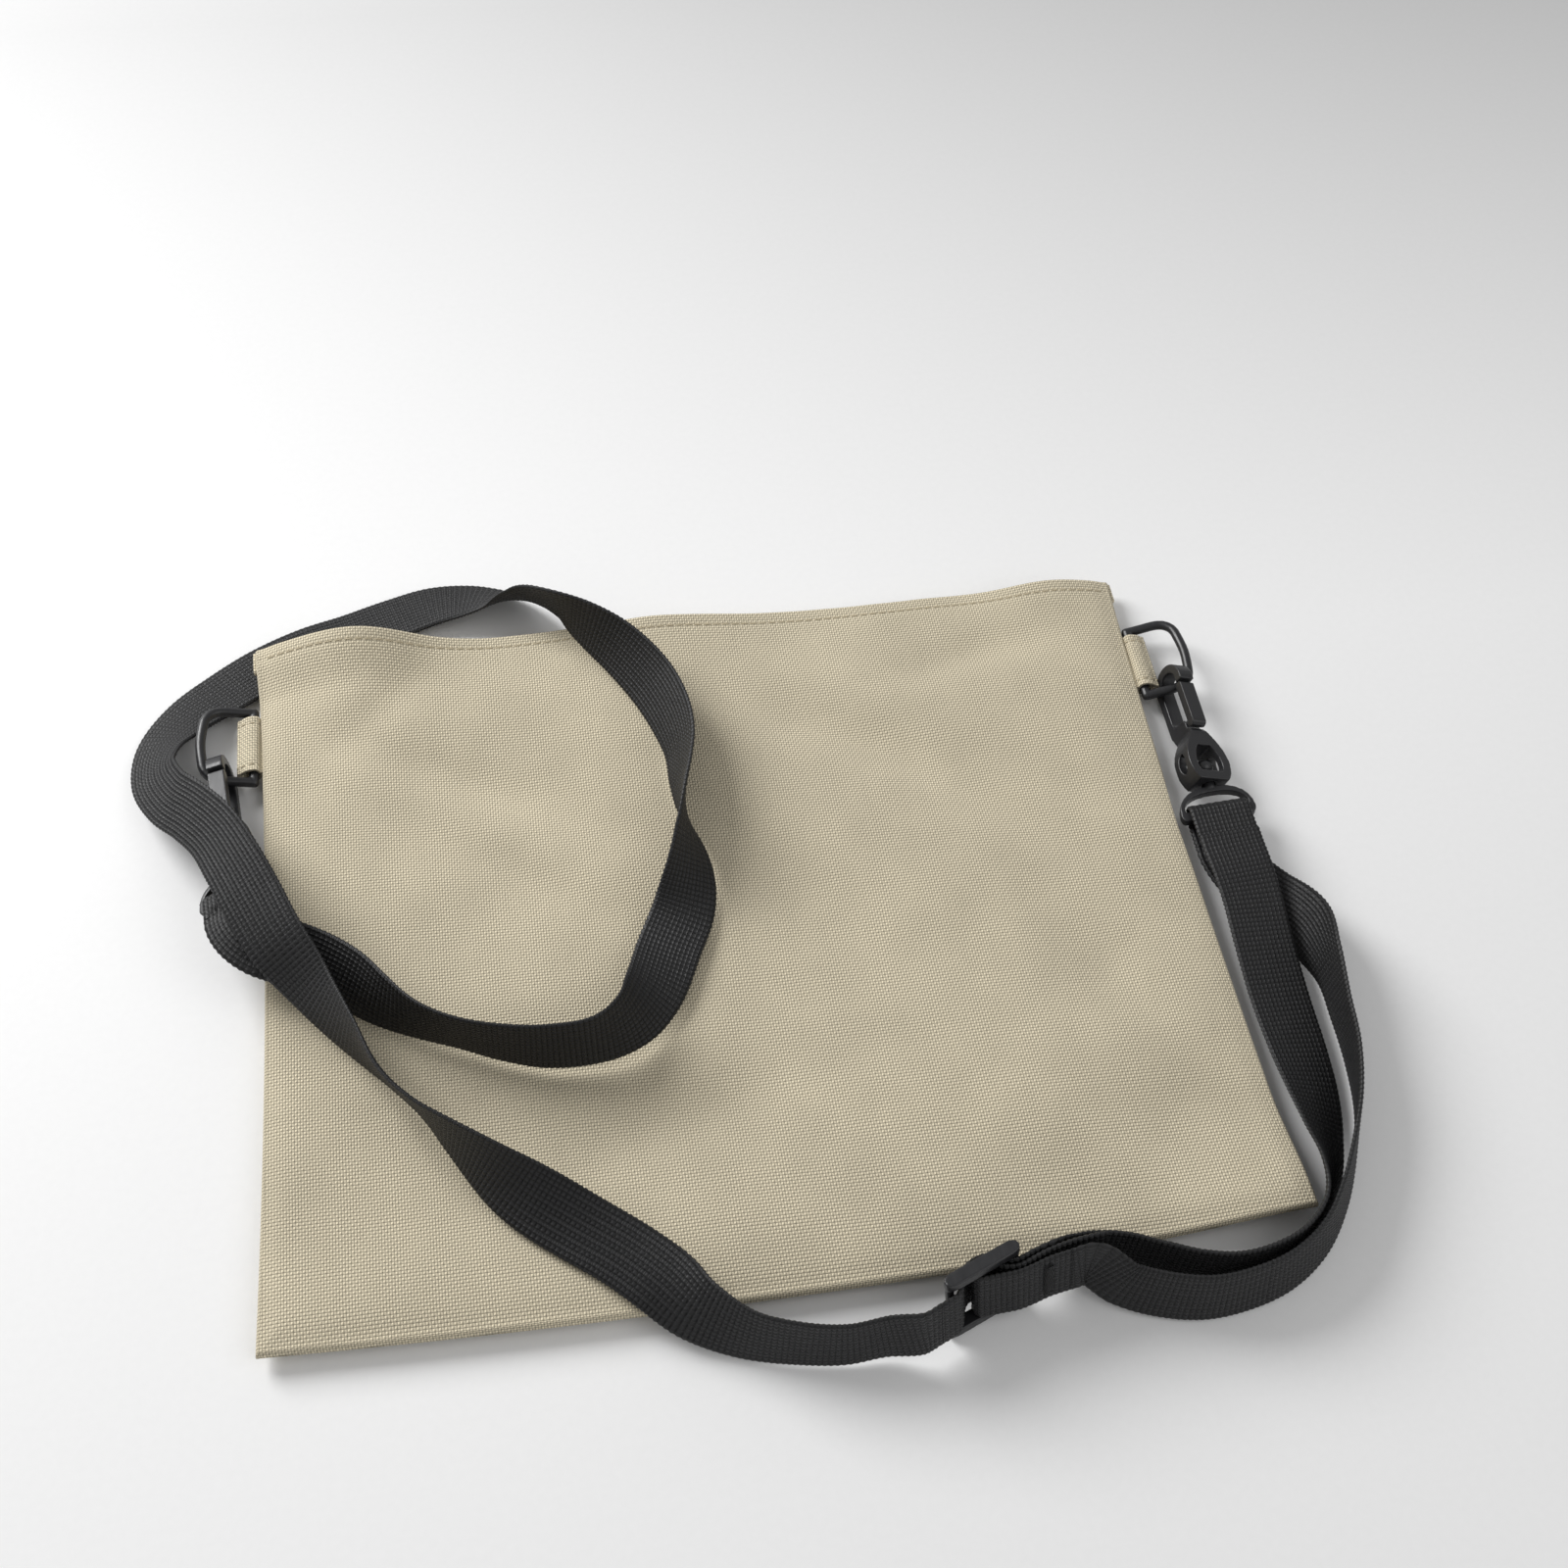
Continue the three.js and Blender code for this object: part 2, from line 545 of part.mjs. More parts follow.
function sliderFrame() {
  const group = new THREE.Group();
  group.position.set(SLIDER_PLACE.x, SLIDER_PLACE.y, SLIDER_PLACE.z);
  group.rotation.set(radians(SLIDER_PLACE.lean), 0, radians(SLIDER_PLACE.yaw), 'ZYX');
  group.updateMatrixWorld(true);
  return group;
}

function railGeometry(offset) {
  const half = SLIDER.halfLength;
  const outline = new THREE.Shape();
  outline.moveTo(-half, -0.6);
  outline.quadraticCurveTo(-half + 0.4, -1.9, -half + 3, -2.1);
  outline.lineTo(half - 3, -2.1);
  outline.quadraticCurveTo(half - 0.4, -1.9, half, -0.6);
  outline.lineTo(half, 0.6);
  outline.quadraticCurveTo(half - 0.4, 1.9, half - 3, 2.1);
  outline.lineTo(-half + 3, 2.1);
  outline.quadraticCurveTo(-half + 0.4, 1.9, -half, 0.6);
  const rail = new THREE.ExtrudeGeometry(outline, {
    depth: SLIDER.rail, bevelEnabled: false, curveSegments: 4,
  });
  rail.rotateX(Math.PI / 2);
  return rail.translate(0, offset + SLIDER.rail / 2, 0);
}

function sliderBar(offset, width) {
  const length = SLIDER.slotHalf * 2 + 1;
  const bar = new THREE.CylinderGeometry(width / 2, width / 2, length, 12);
  bar.scale(1, 1, 2.4 / width);
  return bar.translate(offset, 0, 0);
}

function buildSlider(frame) {
  const railAt = SLIDER.slotHalf + SLIDER.rail / 2;
  const end = SLIDER.halfLength - SLIDER.bar / 2;
  const body = join(
    railGeometry(railAt), railGeometry(-railAt),
    sliderBar(-end, SLIDER.bar), sliderBar(0, 3.2), sliderBar(end, SLIDER.bar),
  );
  addPiece('slider', body, 'plastic', frame);

  // The sewn end folds round the centre bar: its tail lies behind the layer in front.
  const fold = [
    [36, 8.6], [30, 6.6], [24, 5.1], [18, 4.3], [12.5, 4.2], [9.5, 3.9], [6.5, 2.4], [4.3, 0],
    [2.6, -1.8], [0, -2.4], [-1.8, -1.7], [-2.5, 0], [-1.8, 1.7], [0, 2.5], [4, 3.9],
    [8, 5.4], [12.5, 6.2], [18, 6.7], [24, 8.0],
  ];
  addPiece('strap_fold', slideBand(fold), 'webbing', frame);
  const tack = new THREE.BoxGeometry(3.2, 14, 0.6);
  tack.translate(17, 0, 6.6 + WEB.thick / 2 + 0.8);
  addPiece('slider_bar_tack', weld(tack), 'blackThread', frame);
}

// ---------------------------------------------------------------- free webbing

// A route whose cross-section keeps a chosen tilt: the frame it gives to the extrusion has
// its first axis across the webbing's width and its second through its thickness.
class WebbingRoute extends THREE.CatmullRomCurve3 {
  constructor(stations) {
    super(stations.map(([x, y, z]) => new THREE.Vector3(x, y, z)), false, 'centripetal');
    this.tilts = new THREE.CatmullRomCurve3(
      stations.map(([, , , tilt], index) => new THREE.Vector3(index * 20, tilt, 0)),
    );
  }

  computeFrenetFrames(steps) {
    const frames = { tangents: [], normals: [], binormals: [] };
    const up = new THREE.Vector3(0, 0, 1);
    for (let i = 0; i <= steps; i += 1) {
      const share = this.getUtoTmapping(i / steps);
      const along = this.getTangent(share);
      const left = new THREE.Vector3().crossVectors(up, along).normalize();
      const tilt = radians(this.tilts.getPoint(share).y);
      const across = left.applyAxisAngle(along, tilt);
      frames.tangents.push(along);
      frames.normals.push(across);
      frames.binormals.push(new THREE.Vector3().crossVectors(along, across));
    }
    return frames;
  }
}

function webbingSection() {
  const half = WEB.width / 2;
  const thin = WEB.thick / 2;
  return new THREE.Shape([
    [half, -thin / 2], [half, thin / 2], [half - 0.5, thin], [-half + 0.5, thin],
    [-half, thin / 2], [-half, -thin / 2], [-half + 0.5, -thin], [half - 0.5, -thin],
  ].map(([a, b]) => new THREE.Vector2(a, b)));
}

function webbing(stations, steps) {
  const route = new WebbingRoute(stations);
  route.arcLengthDivisions = 2000;
  return weld(new THREE.ExtrudeGeometry(webbingSection(), { steps, extrudePath: route }));
}

// A point given in the slider's frame, as a station of a route.
function sliderStation(frame, along, out) {
  const point = new THREE.Vector3(along, 0, out).applyMatrix4(frame.matrixWorld);
  return [point.x, point.y, point.z];
}

function buildWebbing(frame) {
  const lean = SLIDER_PLACE.lean;
  const reach = 15 + GAP;
  const entry = [reach + 5, reach].map((u) => [...sliderStation(frame, -u, 2.9), lean]);
  addPiece('strap_long', webbing([...MAIN_ROUTE, ...entry], 52), 'webbing');
  addPiece('strap_in_slider', slideBand(THREADED), 'webbing', frame);
  const exit = [[reach, 2.35], [reach + 5, 2.8]].map(([u, w]) => [...sliderStation(frame, u, w), lean]);
  addPiece('strap_short', webbing([...exit, ...AFTER_SLIDER], 12), 'webbing');
  const folded = [[30, 9.9], [24.35, 8.1]].map(([u, w]) => [...sliderStation(frame, u, w), 180 - lean]);
  addPiece('strap_leg', webbing([...LEG_ROUTE, ...folded], 13), 'webbing');
}

// ---------------------------------------------------------------- assembly

buildPouch();
addPiece('front_hem_stitch', hemStitch(frontUnderside), 'thread');
addPiece('back_hem_stitch', hemStitch(backUnderside), 'thread');
for (const [side, place] of Object.entries(SIDES)) {
  buildTab(side, place);
  buildRing(side, place);
  buildHook(side, place);
}
const slider = sliderFrame();
sling.add(slider);
buildSlider(slider);
buildWebbing(slider);

// The pouch bows out at its foot, so its middle lies below the middle of its corners.
// The right loop lies further out than the left one, so the whole moves left by half of that.
sling.position.x = -2.1;
sling.position.y = (POUCH.bottomBow - POUCH.bottom - POUCH.top) / 2;

export default sling;
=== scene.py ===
"""A flat cloth sling pouch with a long webbing shoulder strap, as Blender shows it.

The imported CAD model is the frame. The webbing, cloth, stitching and moulded hardware here
stand in for the plain CAD solids. Lengths are in metres.
"""
import math

import bpy
from mathutils import Matrix, Vector, noise


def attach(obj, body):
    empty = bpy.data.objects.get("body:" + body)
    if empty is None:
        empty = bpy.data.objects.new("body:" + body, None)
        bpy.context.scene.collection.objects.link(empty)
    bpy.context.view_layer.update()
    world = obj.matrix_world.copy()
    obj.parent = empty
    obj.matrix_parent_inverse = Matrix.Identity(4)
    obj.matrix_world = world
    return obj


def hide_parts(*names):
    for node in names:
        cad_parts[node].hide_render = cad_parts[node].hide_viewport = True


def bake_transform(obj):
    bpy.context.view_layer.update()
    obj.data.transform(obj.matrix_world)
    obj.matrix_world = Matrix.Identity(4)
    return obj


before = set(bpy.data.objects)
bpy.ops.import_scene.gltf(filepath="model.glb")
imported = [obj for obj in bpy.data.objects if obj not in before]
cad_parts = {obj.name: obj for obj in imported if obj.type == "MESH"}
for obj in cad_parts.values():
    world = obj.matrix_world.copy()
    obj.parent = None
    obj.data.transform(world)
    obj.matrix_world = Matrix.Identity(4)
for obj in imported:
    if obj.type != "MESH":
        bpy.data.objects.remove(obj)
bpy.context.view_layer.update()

MM = 0.001

# Camera, standing in front of the pouch's foot and looking down on it; turned in degrees.
CAMERA_AT = (-0.0585, -0.28095, 0.5044)
CAMERA_TURN = (34.05, -2.82, -8.95)
CAMERA_LENS = 41.6

# Floor and lights
FLOOR_REACH = 3.0
FLOOR_Z = -0.3 * MM
SKY_STRENGTH = 0.38
KEY_LIGHT = {"place": (-0.8, 0.75, 0.75), "size": 0.75, "power": 17}
FILL_LIGHT = {"place": (0.9, -0.5, 1.1), "size": 1.2, "power": 4}

# Webbing. Its ribs run across it, and its selvedges bulge out a little at each rib.
WEB_WIDTH = 20 * MM
WEB_HALF_THICK = 0.5 * MM
WEB_EDGE_ROUNDING = 0.35 * MM
WEB_YARN_PITCH = 1.38 * MM
RIB_PITCH = 1.6 * MM
RIB_HEIGHT = 0.26 * MM
RIB_STEPS = 4
RIB_ON_EVEN_COLUMNS = 0.45
RIB_ON_ODD_COLUMNS = 1.15
SELVEDGE = 0.16 * MM
WEB_COLUMNS = 14

# Zigzags of thread that hold the strap's ends
TACK_TURNS = 34
TACK_FILL = 0.45
TACK_THREAD = 0.2 * MM
TACK_LENGTH = 14 * MM
TACK_WIDTH = 3.2 * MM
LOOP_TACK_FROM_BAR = 4.7 * MM
LOOP_TACK_RISE = 0.25 * MM
SLIDER_TACK_ALONG = 17 * MM
SLIDER_TACK_OUT = 6.7 * MM
SLIDER_TACK_RISE = 0.3 * MM

# Pouch cloth, drawn about its own middle and then moved by this much
SHIFT_X = -2.1 * MM
SHIFT_Y = 2.25 * MM
HALF_WIDTH = 149.5 * MM
MOUTH_Y = 118.5 * MM
FOOT_Y = -119.5 * MM
FOOT_BOW = 3.5 * MM
WAIST = 0.016
SEAM_REACH = 9 * MM
CLOTH_THICK = 0.7 * MM
WARP_PITCH = 0.84 * MM
WEFT_PITCH = 1.0 * MM
FRONT_TOP = 8.0 * MM
FRONT_CROWN = 1.5 * MM
SEAM_DROP = 0.6 * MM
SEAM_ROUNDING = 0.9 * MM
SEAM_ROUNDING_REACH = 4 * MM
BACK_LIFT = 2.6 * MM
CORNER_LIFT = 4.5 * MM
RIM_WIDTH = 1.3 * MM
LOOP_DENT_Y = 16 * MM
LOOP_DENT_REACH = 14 * MM
LOOP_DENT_DEPTH = 1.0 * MM
HEM_RADIUS = 0.95 * MM
HEM_RETURN = 7.0 * MM
STITCH_FROM_MOUTH = 4.8 * MM
STITCH_PITCH = 3.3 * MM
STITCH_DENT = 0.32 * MM
THREAD_RADIUS = 0.24 * MM
# Waves of the mouth: height, X and spread in millimetres.
MOUTH_WAVES = [(10, -115, 24), (3, -12, 30), (4, 128, 18)]
MOUTH_WAVE_FADE = 38 * MM
# Shallow valleys in millimetres: X, Y, direction in degrees, half length, half width, depth.
CREASES = [
    (-88, 62, -28, 46, 8, 2.2), (-70, 22, -34, 52, 9, 2.3), (40, 66, -24, 60, 10, 2.1),
    (78, 38, -38, 50, 9, 2.2), (-112, 88, 40, 24, 8, 1.4), (18, 4, -56, 46, 11, 1.8),
    (-24, -66, 14, 50, 11, 1.5), (108, -30, -62, 40, 9, 1.6), (96, 92, 12, 34, 8, 1.6),
]

# Tabs, rings and snap hooks. A hook's places are in millimetres, its angles in degrees.
TAB_WIDTH = 22 * MM
TAB_COLUMNS = 32
TAB_STITCH_FROM_EDGE = 2.6 * MM
TAB_STITCH_RISE = 0.12 * MM
RING_BAR_X = 152 * MM
RING_Z = 5 * MM
EYE_FROM_BAR = 10.1 * MM
EYE_Y = 42 * MM
LOOP_BAR_Y = -11.3 * MM
TURN_RADIUS = 3.4 * MM
# How far the webbing reaches past each loop's bar.
TURN_TAILS = {"left": 7.1 * MM, "right": 9.3 * MM}
# The left end's folded layer: how far it lies below the bar, and its height.
SEWN_TAIL = [
    (6.9 * MM, 1.9 * MM), (5.6 * MM, 1.5 * MM), (4.0 * MM, -0.3 * MM), (2.2 * MM, -2.8 * MM),
]
HOOKS = {
    "left": dict(sign=-1, ring_y=82.6, eye_y=69.4, lift=16, pitch=-12, yaw=8, loop_roll=-25),
    "right": dict(sign=1, ring_y=82.0, eye_y=68.6, lift=16, pitch=0, yaw=0, loop_roll=-6),
}
SLIDER_AT = (0.0454, -0.13025, 0.0136)
SLIDER_YAW = 21
SLIDER_LEAN = 75

# Voxel sizes that round the edges of the moulded pieces
MOULD_VOXELS = {
    "ring": 0.30 * MM, "hook_body": 0.28 * MM, "gate": 0.25 * MM, "swivel": 0.28 * MM,
    "slider": 0.28 * MM,
}
SOFTEN_ROUNDS = 5

# Routes of the webbing's centre line: X, Y, Z and the tilt of its width from the level, in degrees.
LONG_ROUTE = [
    (-0.15708, 0.01375, 0.02338, 25), (-0.1565, 0.00955, 0.0241, 25), (-0.1537, 0.00445, 0.0241, 24),
    (-0.1486, 0.00005, 0.0228, 22), (-0.1411, -0.00335, 0.021, 24), (-0.1326, -0.00775, 0.0197, 32),
    (-0.1236, -0.01375, 0.019, 46), (-0.1146, -0.02175, 0.0189, 64), (-0.1046, -0.02955, 0.0195, 82),
    (-0.0931, -0.03575, 0.02, 89), (-0.0801, -0.04075, 0.0199, 84), (-0.0666, -0.04375, 0.0198, 77),
    (-0.0521, -0.04325, 0.0197, 72), (-0.0416, -0.03725, 0.018, 54), (-0.0341, -0.02675, 0.0148, 28),
    (-0.0271, -0.01075, 0.0116, 8), (-0.0211, 0.00125, 0.013, 18), (-0.0176, 0.01325, 0.0168, 42),
    (-0.0166, 0.02525, 0.0192, 66), (-0.0171, 0.03725, 0.0202, 94), (-0.0161, 0.04925, 0.0198, 110),
    (-0.0151, 0.06125, 0.019, 118), (-0.0171, 0.07425, 0.0181, 128), (-0.0221, 0.08825, 0.0178, 133),
    (-0.0311, 0.10225, 0.0188, 124), (-0.0421, 0.11375, 0.02, 102), (-0.0516, 0.12275, 0.0196, 76),
    (-0.0601, 0.13175, 0.0134, 56), (-0.0691, 0.13725, 0.0074, 36), (-0.0801, 0.14025, 0.0046, 20),
    (-0.0931, 0.14025, 0.0032, 10), (-0.1071, 0.13675, 0.0022, 6), (-0.1221, 0.13175, 0.0015, 3),
    (-0.1366, 0.12725, 0.0015, 2), (-0.1511, 0.12025, 0.0016, 2), (-0.1636, 0.11175, 0.002, 5),
    (-0.1756, 0.10125, 0.0036, 12), (-0.1836, 0.08825, 0.0066, 24), (-0.1846, 0.07425, 0.011, 34),
    (-0.1787, 0.06015, 0.0177, 38), (-0.1704, 0.04965, 0.0232, 37), (-0.1626, 0.03875, 0.0271, 34),
    (-0.156, 0.02535, 0.0295, 28), (-0.1502, 0.01225, 0.0297, 25), (-0.1428, -0.00365, 0.0279, 34),
    (-0.1339, -0.01695, 0.0222, 55), (-0.1236, -0.03275, 0.0204, 77), (-0.1137, -0.04775, 0.02, 98),
    (-0.1054, -0.05795, 0.02, 98), (-0.0979, -0.06655, 0.0198, 84), (-0.0881, -0.07675, 0.0188, 62),
    (-0.0771, -0.08625, 0.0156, 34), (-0.0641, -0.09575, 0.0123, 12), (-0.0516, -0.10525, 0.0112, 7),
    (-0.0421, -0.11425, 0.0114, 16), (-0.0331, -0.12425, 0.0112, 44), (-0.0211, -0.13225, 0.0103, 66),
    (-0.0071, -0.13695, 0.0103, 74), (0.0059, -0.13915, 0.0104, 76), (0.0169, -0.13895, 0.0116, 76),
]
SHORT_ROUTE = [
    (0.0711, -0.12405, 0.0126, 75), (0.0784, -0.12325, 0.0114, 76), (0.0879, -0.12415, 0.0105, 79),
    (0.0979, -0.12735, 0.0104, 84), (0.1084, -0.13135, 0.0104, 84), (0.1189, -0.13315, 0.0104, 84),
    (0.1299, -0.13175, 0.0104, 84), (0.1405, -0.12755, 0.0104, 84), (0.1501, -0.11935, 0.0102, 78),
    (0.1561, -0.10775, 0.0092, 58), (0.1585, -0.09475, 0.0076, 38), (0.1599, -0.08175, 0.0062, 22),
    (0.1601, -0.06775, 0.0056, 11), (0.1599, -0.04975, 0.0058, 5), (0.1599, -0.03175, 0.008, 3),
    (0.1603, -0.01475, 0.01, 0), (0.1599, -0.00375, 0.0112, -4), (0.1596, 0.00385, 0.0112, -6),
    (0.1596, 0.00835, 0.0113, -6),
]
LEG_ROUTE = [
    (0.16, 0.00835, 0.0045, 6), (0.16, 0.00385, 0.0044, 6), (0.1621, -0.00275, 0.004, 8),
    (0.1682, -0.01275, 0.0043, 16), (0.1753, -0.02575, 0.0074, 46), (0.1769, -0.04175, 0.0104, 82),
    (0.1759, -0.05775, 0.0104, 92), (0.1745, -0.07375, 0.0104, 96), (0.1711, -0.08875, 0.0103, 102),
    (0.1651, -0.10275, 0.0101, 106), (0.1575, -0.11615, 0.01, 108), (0.1479, -0.12775, 0.01, 108),
    (0.1355, -0.13575, 0.01, 108), (0.1219, -0.13955, 0.01, 108), (0.1089, -0.14035, 0.01, 108),
    (0.0959, -0.13755, 0.0102, 108), (0.0859, -0.13355, 0.0114, 107),
]
# Webbing at the slider: distance along it and out from its middle.
SLIDER_ENTRY = [(-0.02035, 0.0029), (-0.01535, 0.0029)]
SLIDER_EXIT = [(0.01535, 0.00235), (0.02035, 0.0028)]
FOLD_ENTRY = [(0.03, 0.0099), (0.02435, 0.0081)]
THREADED = [
    (-0.01535, 0.0029), (-0.0124, 0.0029), (-0.0094, 0.0025), (-0.0074, 0.0007),
    (-0.0058, -0.0014), (-0.0039, -0.0032), (-0.0012, -0.004), (0.0018, -0.004),
    (0.0046, -0.003), (0.0064, -0.001), (0.0084, 0.0012), (0.0109, 0.0022), (0.01535, 0.00235),
]
FOLD = [
    (0.036, 0.0086), (0.03, 0.0066), (0.024, 0.0051), (0.018, 0.0043), (0.0125, 0.0042),
    (0.0095, 0.0039), (0.0065, 0.0024), (0.0043, 0), (0.0026, -0.0018), (0, -0.0024),
    (-0.0018, -0.0017), (-0.0025, 0), (-0.0018, 0.0017), (0, 0.0025), (0.004, 0.0039),
    (0.008, 0.0054), (0.0125, 0.0062), (0.018, 0.0067), (0.02435, 0.0081),
]


# ---------------------------------------------------------------- camera

def place_camera():
    data = bpy.data.cameras.new("view")
    data.lens = CAMERA_LENS
    data.clip_start = 0.01
    camera = bpy.data.objects.new("view", data)
    camera.location = CAMERA_AT
    camera.rotation_euler = [math.radians(angle) for angle in CAMERA_TURN]
    bpy.context.scene.collection.objects.link(camera)
    bpy.context.scene.camera = camera


place_camera()


# ---------------------------------------------------------------- node materials

# Numbers of the outputs wanted from some nodes
OBJECT_PLACE = 3
POINTINESS = 7
Y_PART = 1


class Shade:
    """Builds one node material; each call adds a node and returns its first output."""

    def __init__(self, name):
        self.material = bpy.data.materials.new(name)
        self.material.use_nodes = True
        self.tree = self.material.node_tree
        self.surface = self.tree.nodes["Principled BSDF"]

    def connect(self, value, socket):
        if isinstance(value, bpy.types.NodeSocket):
            self.tree.links.new(value, socket)
        else:
            socket.default_value = value

    def node(self, kind, output=0, settings=(), **inputs):
        made = self.tree.nodes.new(kind)
        for key, value in dict(settings).items():
            setattr(made, key, value)
        for key, value in inputs.items():
            self.connect(value, made.inputs[key.replace("_", " ")])
        return made.outputs[output]

    def math(self, operation, first, second=0.0):
        made = self.tree.nodes.new("ShaderNodeMath")
        made.operation = operation
        self.connect(first, made.inputs[0])
        self.connect(second, made.inputs[1])
        return made.outputs[0]

    def noise(self, where, scale, detail=3.0):
        return self.node("ShaderNodeTexNoise", Vector=where, Scale=scale, Detail=detail)

    def stretch(self, where, scale):
        made = self.tree.nodes.new("ShaderNodeVectorMath")
        made.operation = "MULTIPLY"
        self.connect(where, made.inputs[0])
        made.inputs[1].default_value = scale
        return made.outputs[0]

    def ramp(self, value, low, high, dark, light):
        made = self.tree.nodes.new("ShaderNodeMapRange")
        self.connect(value, made.inputs["Value"])
        made.inputs["From Min"].default_value = low
        made.inputs["From Max"].default_value = high
        made.inputs["To Min"].default_value = dark
        made.inputs["To Max"].default_value = light
        return made.outputs[0]

    def tint(self, colour, amount):
        made = self.tree.nodes.new("ShaderNodeVectorMath")
        made.operation = "SCALE"
        made.inputs[0].default_value = colour
        self.connect(amount, made.inputs["Scale"])
        return made.outputs[0]

    def bump(self, height, distance, strength=1.0):
        normal = self.node("ShaderNodeBump", Height=height, Distance=distance, Strength=strength)
        self.connect(normal, self.surface.inputs["Normal"])

    def finish(self, **inputs):
        for key, value in inputs.items():
            self.connect(value, self.surface.inputs[key.replace("_", " ")])
        return self.material


def linear(red, green, blue):
    """A colour given as 8-bit display values, for a shader."""
    def decode(level):
        share = level / 255
        return share / 12.92 if share <= 0.04045 else ((share + 0.055) / 1.055) ** 2.4
    return (decode(red), decode(green), decode(blue))


def plain_weave(shade, uv, pitch_across, pitch_along):
    """Height of a plain weave from 0 to 1, which yarn is on top, and its diagonal, -1 to 1."""
    split = shade.tree.nodes.new("ShaderNodeSeparateXYZ")
    shade.connect(uv, split.inputs[0])
    phase_across = shade.math("MULTIPLY", split.outputs[0], math.pi / pitch_across)
    phase_along = shade.math("MULTIPLY", split.outputs[1], math.pi / pitch_along)
    across = shade.math("SINE", phase_across)
    along = shade.math("SINE", phase_along)
    diagonal = shade.math("COSINE", shade.math("SUBTRACT", phase_across, phase_along))
    on_top = shade.math("MULTIPLY", across, along)
    roundness = 0.55
    round_across = shade.math("POWER", shade.math("ABSOLUTE", across), roundness)
    round_along = shade.math("POWER", shade.math("ABSOLUTE", along), roundness)
    return shade.math("MULTIPLY", round_across, round_along), on_top, diagonal


def cloth_material():
    shade = Shade("khaki_canvas")
    uv = shade.node("ShaderNodeUVMap")
    height, on_top, diagonal = plain_weave(shade, uv, WARP_PITCH, WEFT_PITCH)
    warp = shade.noise(shade.stretch(uv, (1190, 60, 0)), 1.0, 2.0)
    weft = shade.noise(shade.stretch(uv, (60, 1000, 0)), 1.0, 2.0)
    fibre = shade.noise(uv, 5200, 4.0)
    tone_and_painted_fold_shade = shade.noise(uv, 34, 3.0)
    yarns = shade.math("ADD", shade.math("MULTIPLY", warp, 0.5), shade.math("MULTIPLY", weft, 0.5))
    level = shade.ramp(yarns, 0.3, 0.7, 0.965, 1.03)
    # Painted shade: the hollows between the yarns are darkened strongly and the yarn crowns a little
    # brightened, on top of the weave's own pattern.
    level = shade.math("MULTIPLY", level, shade.ramp(height, 0.0, 0.8, 0.38, 1.13))
    level = shade.math("MULTIPLY", level, shade.ramp(on_top, -1.0, 1.0, 0.94, 1.05))
    level = shade.math("MULTIPLY", level, shade.ramp(diagonal, -1.0, 1.0, 0.88, 1.09))
    # Broad blotches of tone: partly the cloth's own uneven tone, partly painted shade standing in for
    # the shading of soft folds.
    level = shade.math("MULTIPLY", level, shade.ramp(tone_and_painted_fold_shade, 0.3, 0.7, 0.94, 1.05))
    level = shade.math("MULTIPLY", level, shade.ramp(fibre, 0.2, 0.8, 0.95, 1.05))
    relief = shade.math("ADD", height, shade.math("MULTIPLY", fibre, 0.35))
    relief = shade.math("ADD", relief, shade.math("MULTIPLY", diagonal, 0.22))
    relief = shade.math("ADD", relief, shade.math("MULTIPLY", yarns, 0.3))
    shade.bump(relief, 0.26 * MM, 0.9)
    return shade.finish(
        Base_Color=shade.tint(linear(217, 206, 180), level), Roughness=0.88,
        Specular_IOR_Level=0.2, Sheen_Weight=0.12, Sheen_Roughness=0.45,
    )


def webbing_material():
    shade = Shade("black_webbing")
    uv = shade.node("ShaderNodeUVMap")
    height, _, _ = plain_weave(shade, uv, WEB_YARN_PITCH, RIB_PITCH)
    fibre = shade.noise(shade.stretch(uv, (2600, 700, 0)), 1.0, 3.0)
    wear = shade.noise(uv, 90, 3.0)
    # Painted highlight on the rib crowns and painted shade in the valleys between them: the colour
    # runs from 0.2 to 2.1 times the base with the weave's height.
    level = shade.ramp(height, 0.0, 0.9, 0.2, 2.1)
    level = shade.math("MULTIPLY", level, shade.ramp(fibre, 0.25, 0.75, 0.8, 1.25))
    level = shade.math("MULTIPLY", level, shade.ramp(wear, 0.3, 0.7, 0.92, 1.1))
    relief = shade.math("ADD", height, shade.math("MULTIPLY", fibre, 0.5))
    shade.bump(relief, 0.34 * MM, 1.0)
    return shade.finish(
        Base_Color=shade.tint(linear(19, 19, 20), level),
        Roughness=shade.ramp(fibre, 0.2, 0.8, 0.42, 0.62),
        Specular_IOR_Level=0.42, Sheen_Weight=0.02, Sheen_Roughness=0.4,
    )


def plastic_material():
    shade = Shade("moulded_plastic")
    where = shade.node("ShaderNodeTexCoord", output=OBJECT_PLACE)
    grain = shade.noise(where, 2600, 2.0)
    flow = shade.noise(where, 60, 3.0)
    scuff = shade.noise(shade.stretch(where, (900, 120, 700)), 1.0, 4.0)
    edge = shade.node("ShaderNodeNewGeometry", output=POINTINESS)
    worn = shade.ramp(edge, 0.52, 0.62, 1.0, 1.35)
    level = shade.math("MULTIPLY", worn, shade.ramp(flow, 0.3, 0.7, 0.94, 1.06))
    roughness = shade.ramp(scuff, 0.35, 0.7, 0.3, 0.44)
    shade.bump(shade.math("ADD", grain, shade.math("MULTIPLY", scuff, 0.4)), 0.02 * MM, 0.6)
    return shade.finish(
        Base_Color=shade.tint(linear(34, 34, 36), level), Roughness=roughness,
        Specular_IOR_Level=0.5, Coat_Weight=0.06, Coat_Roughness=0.3,
    )


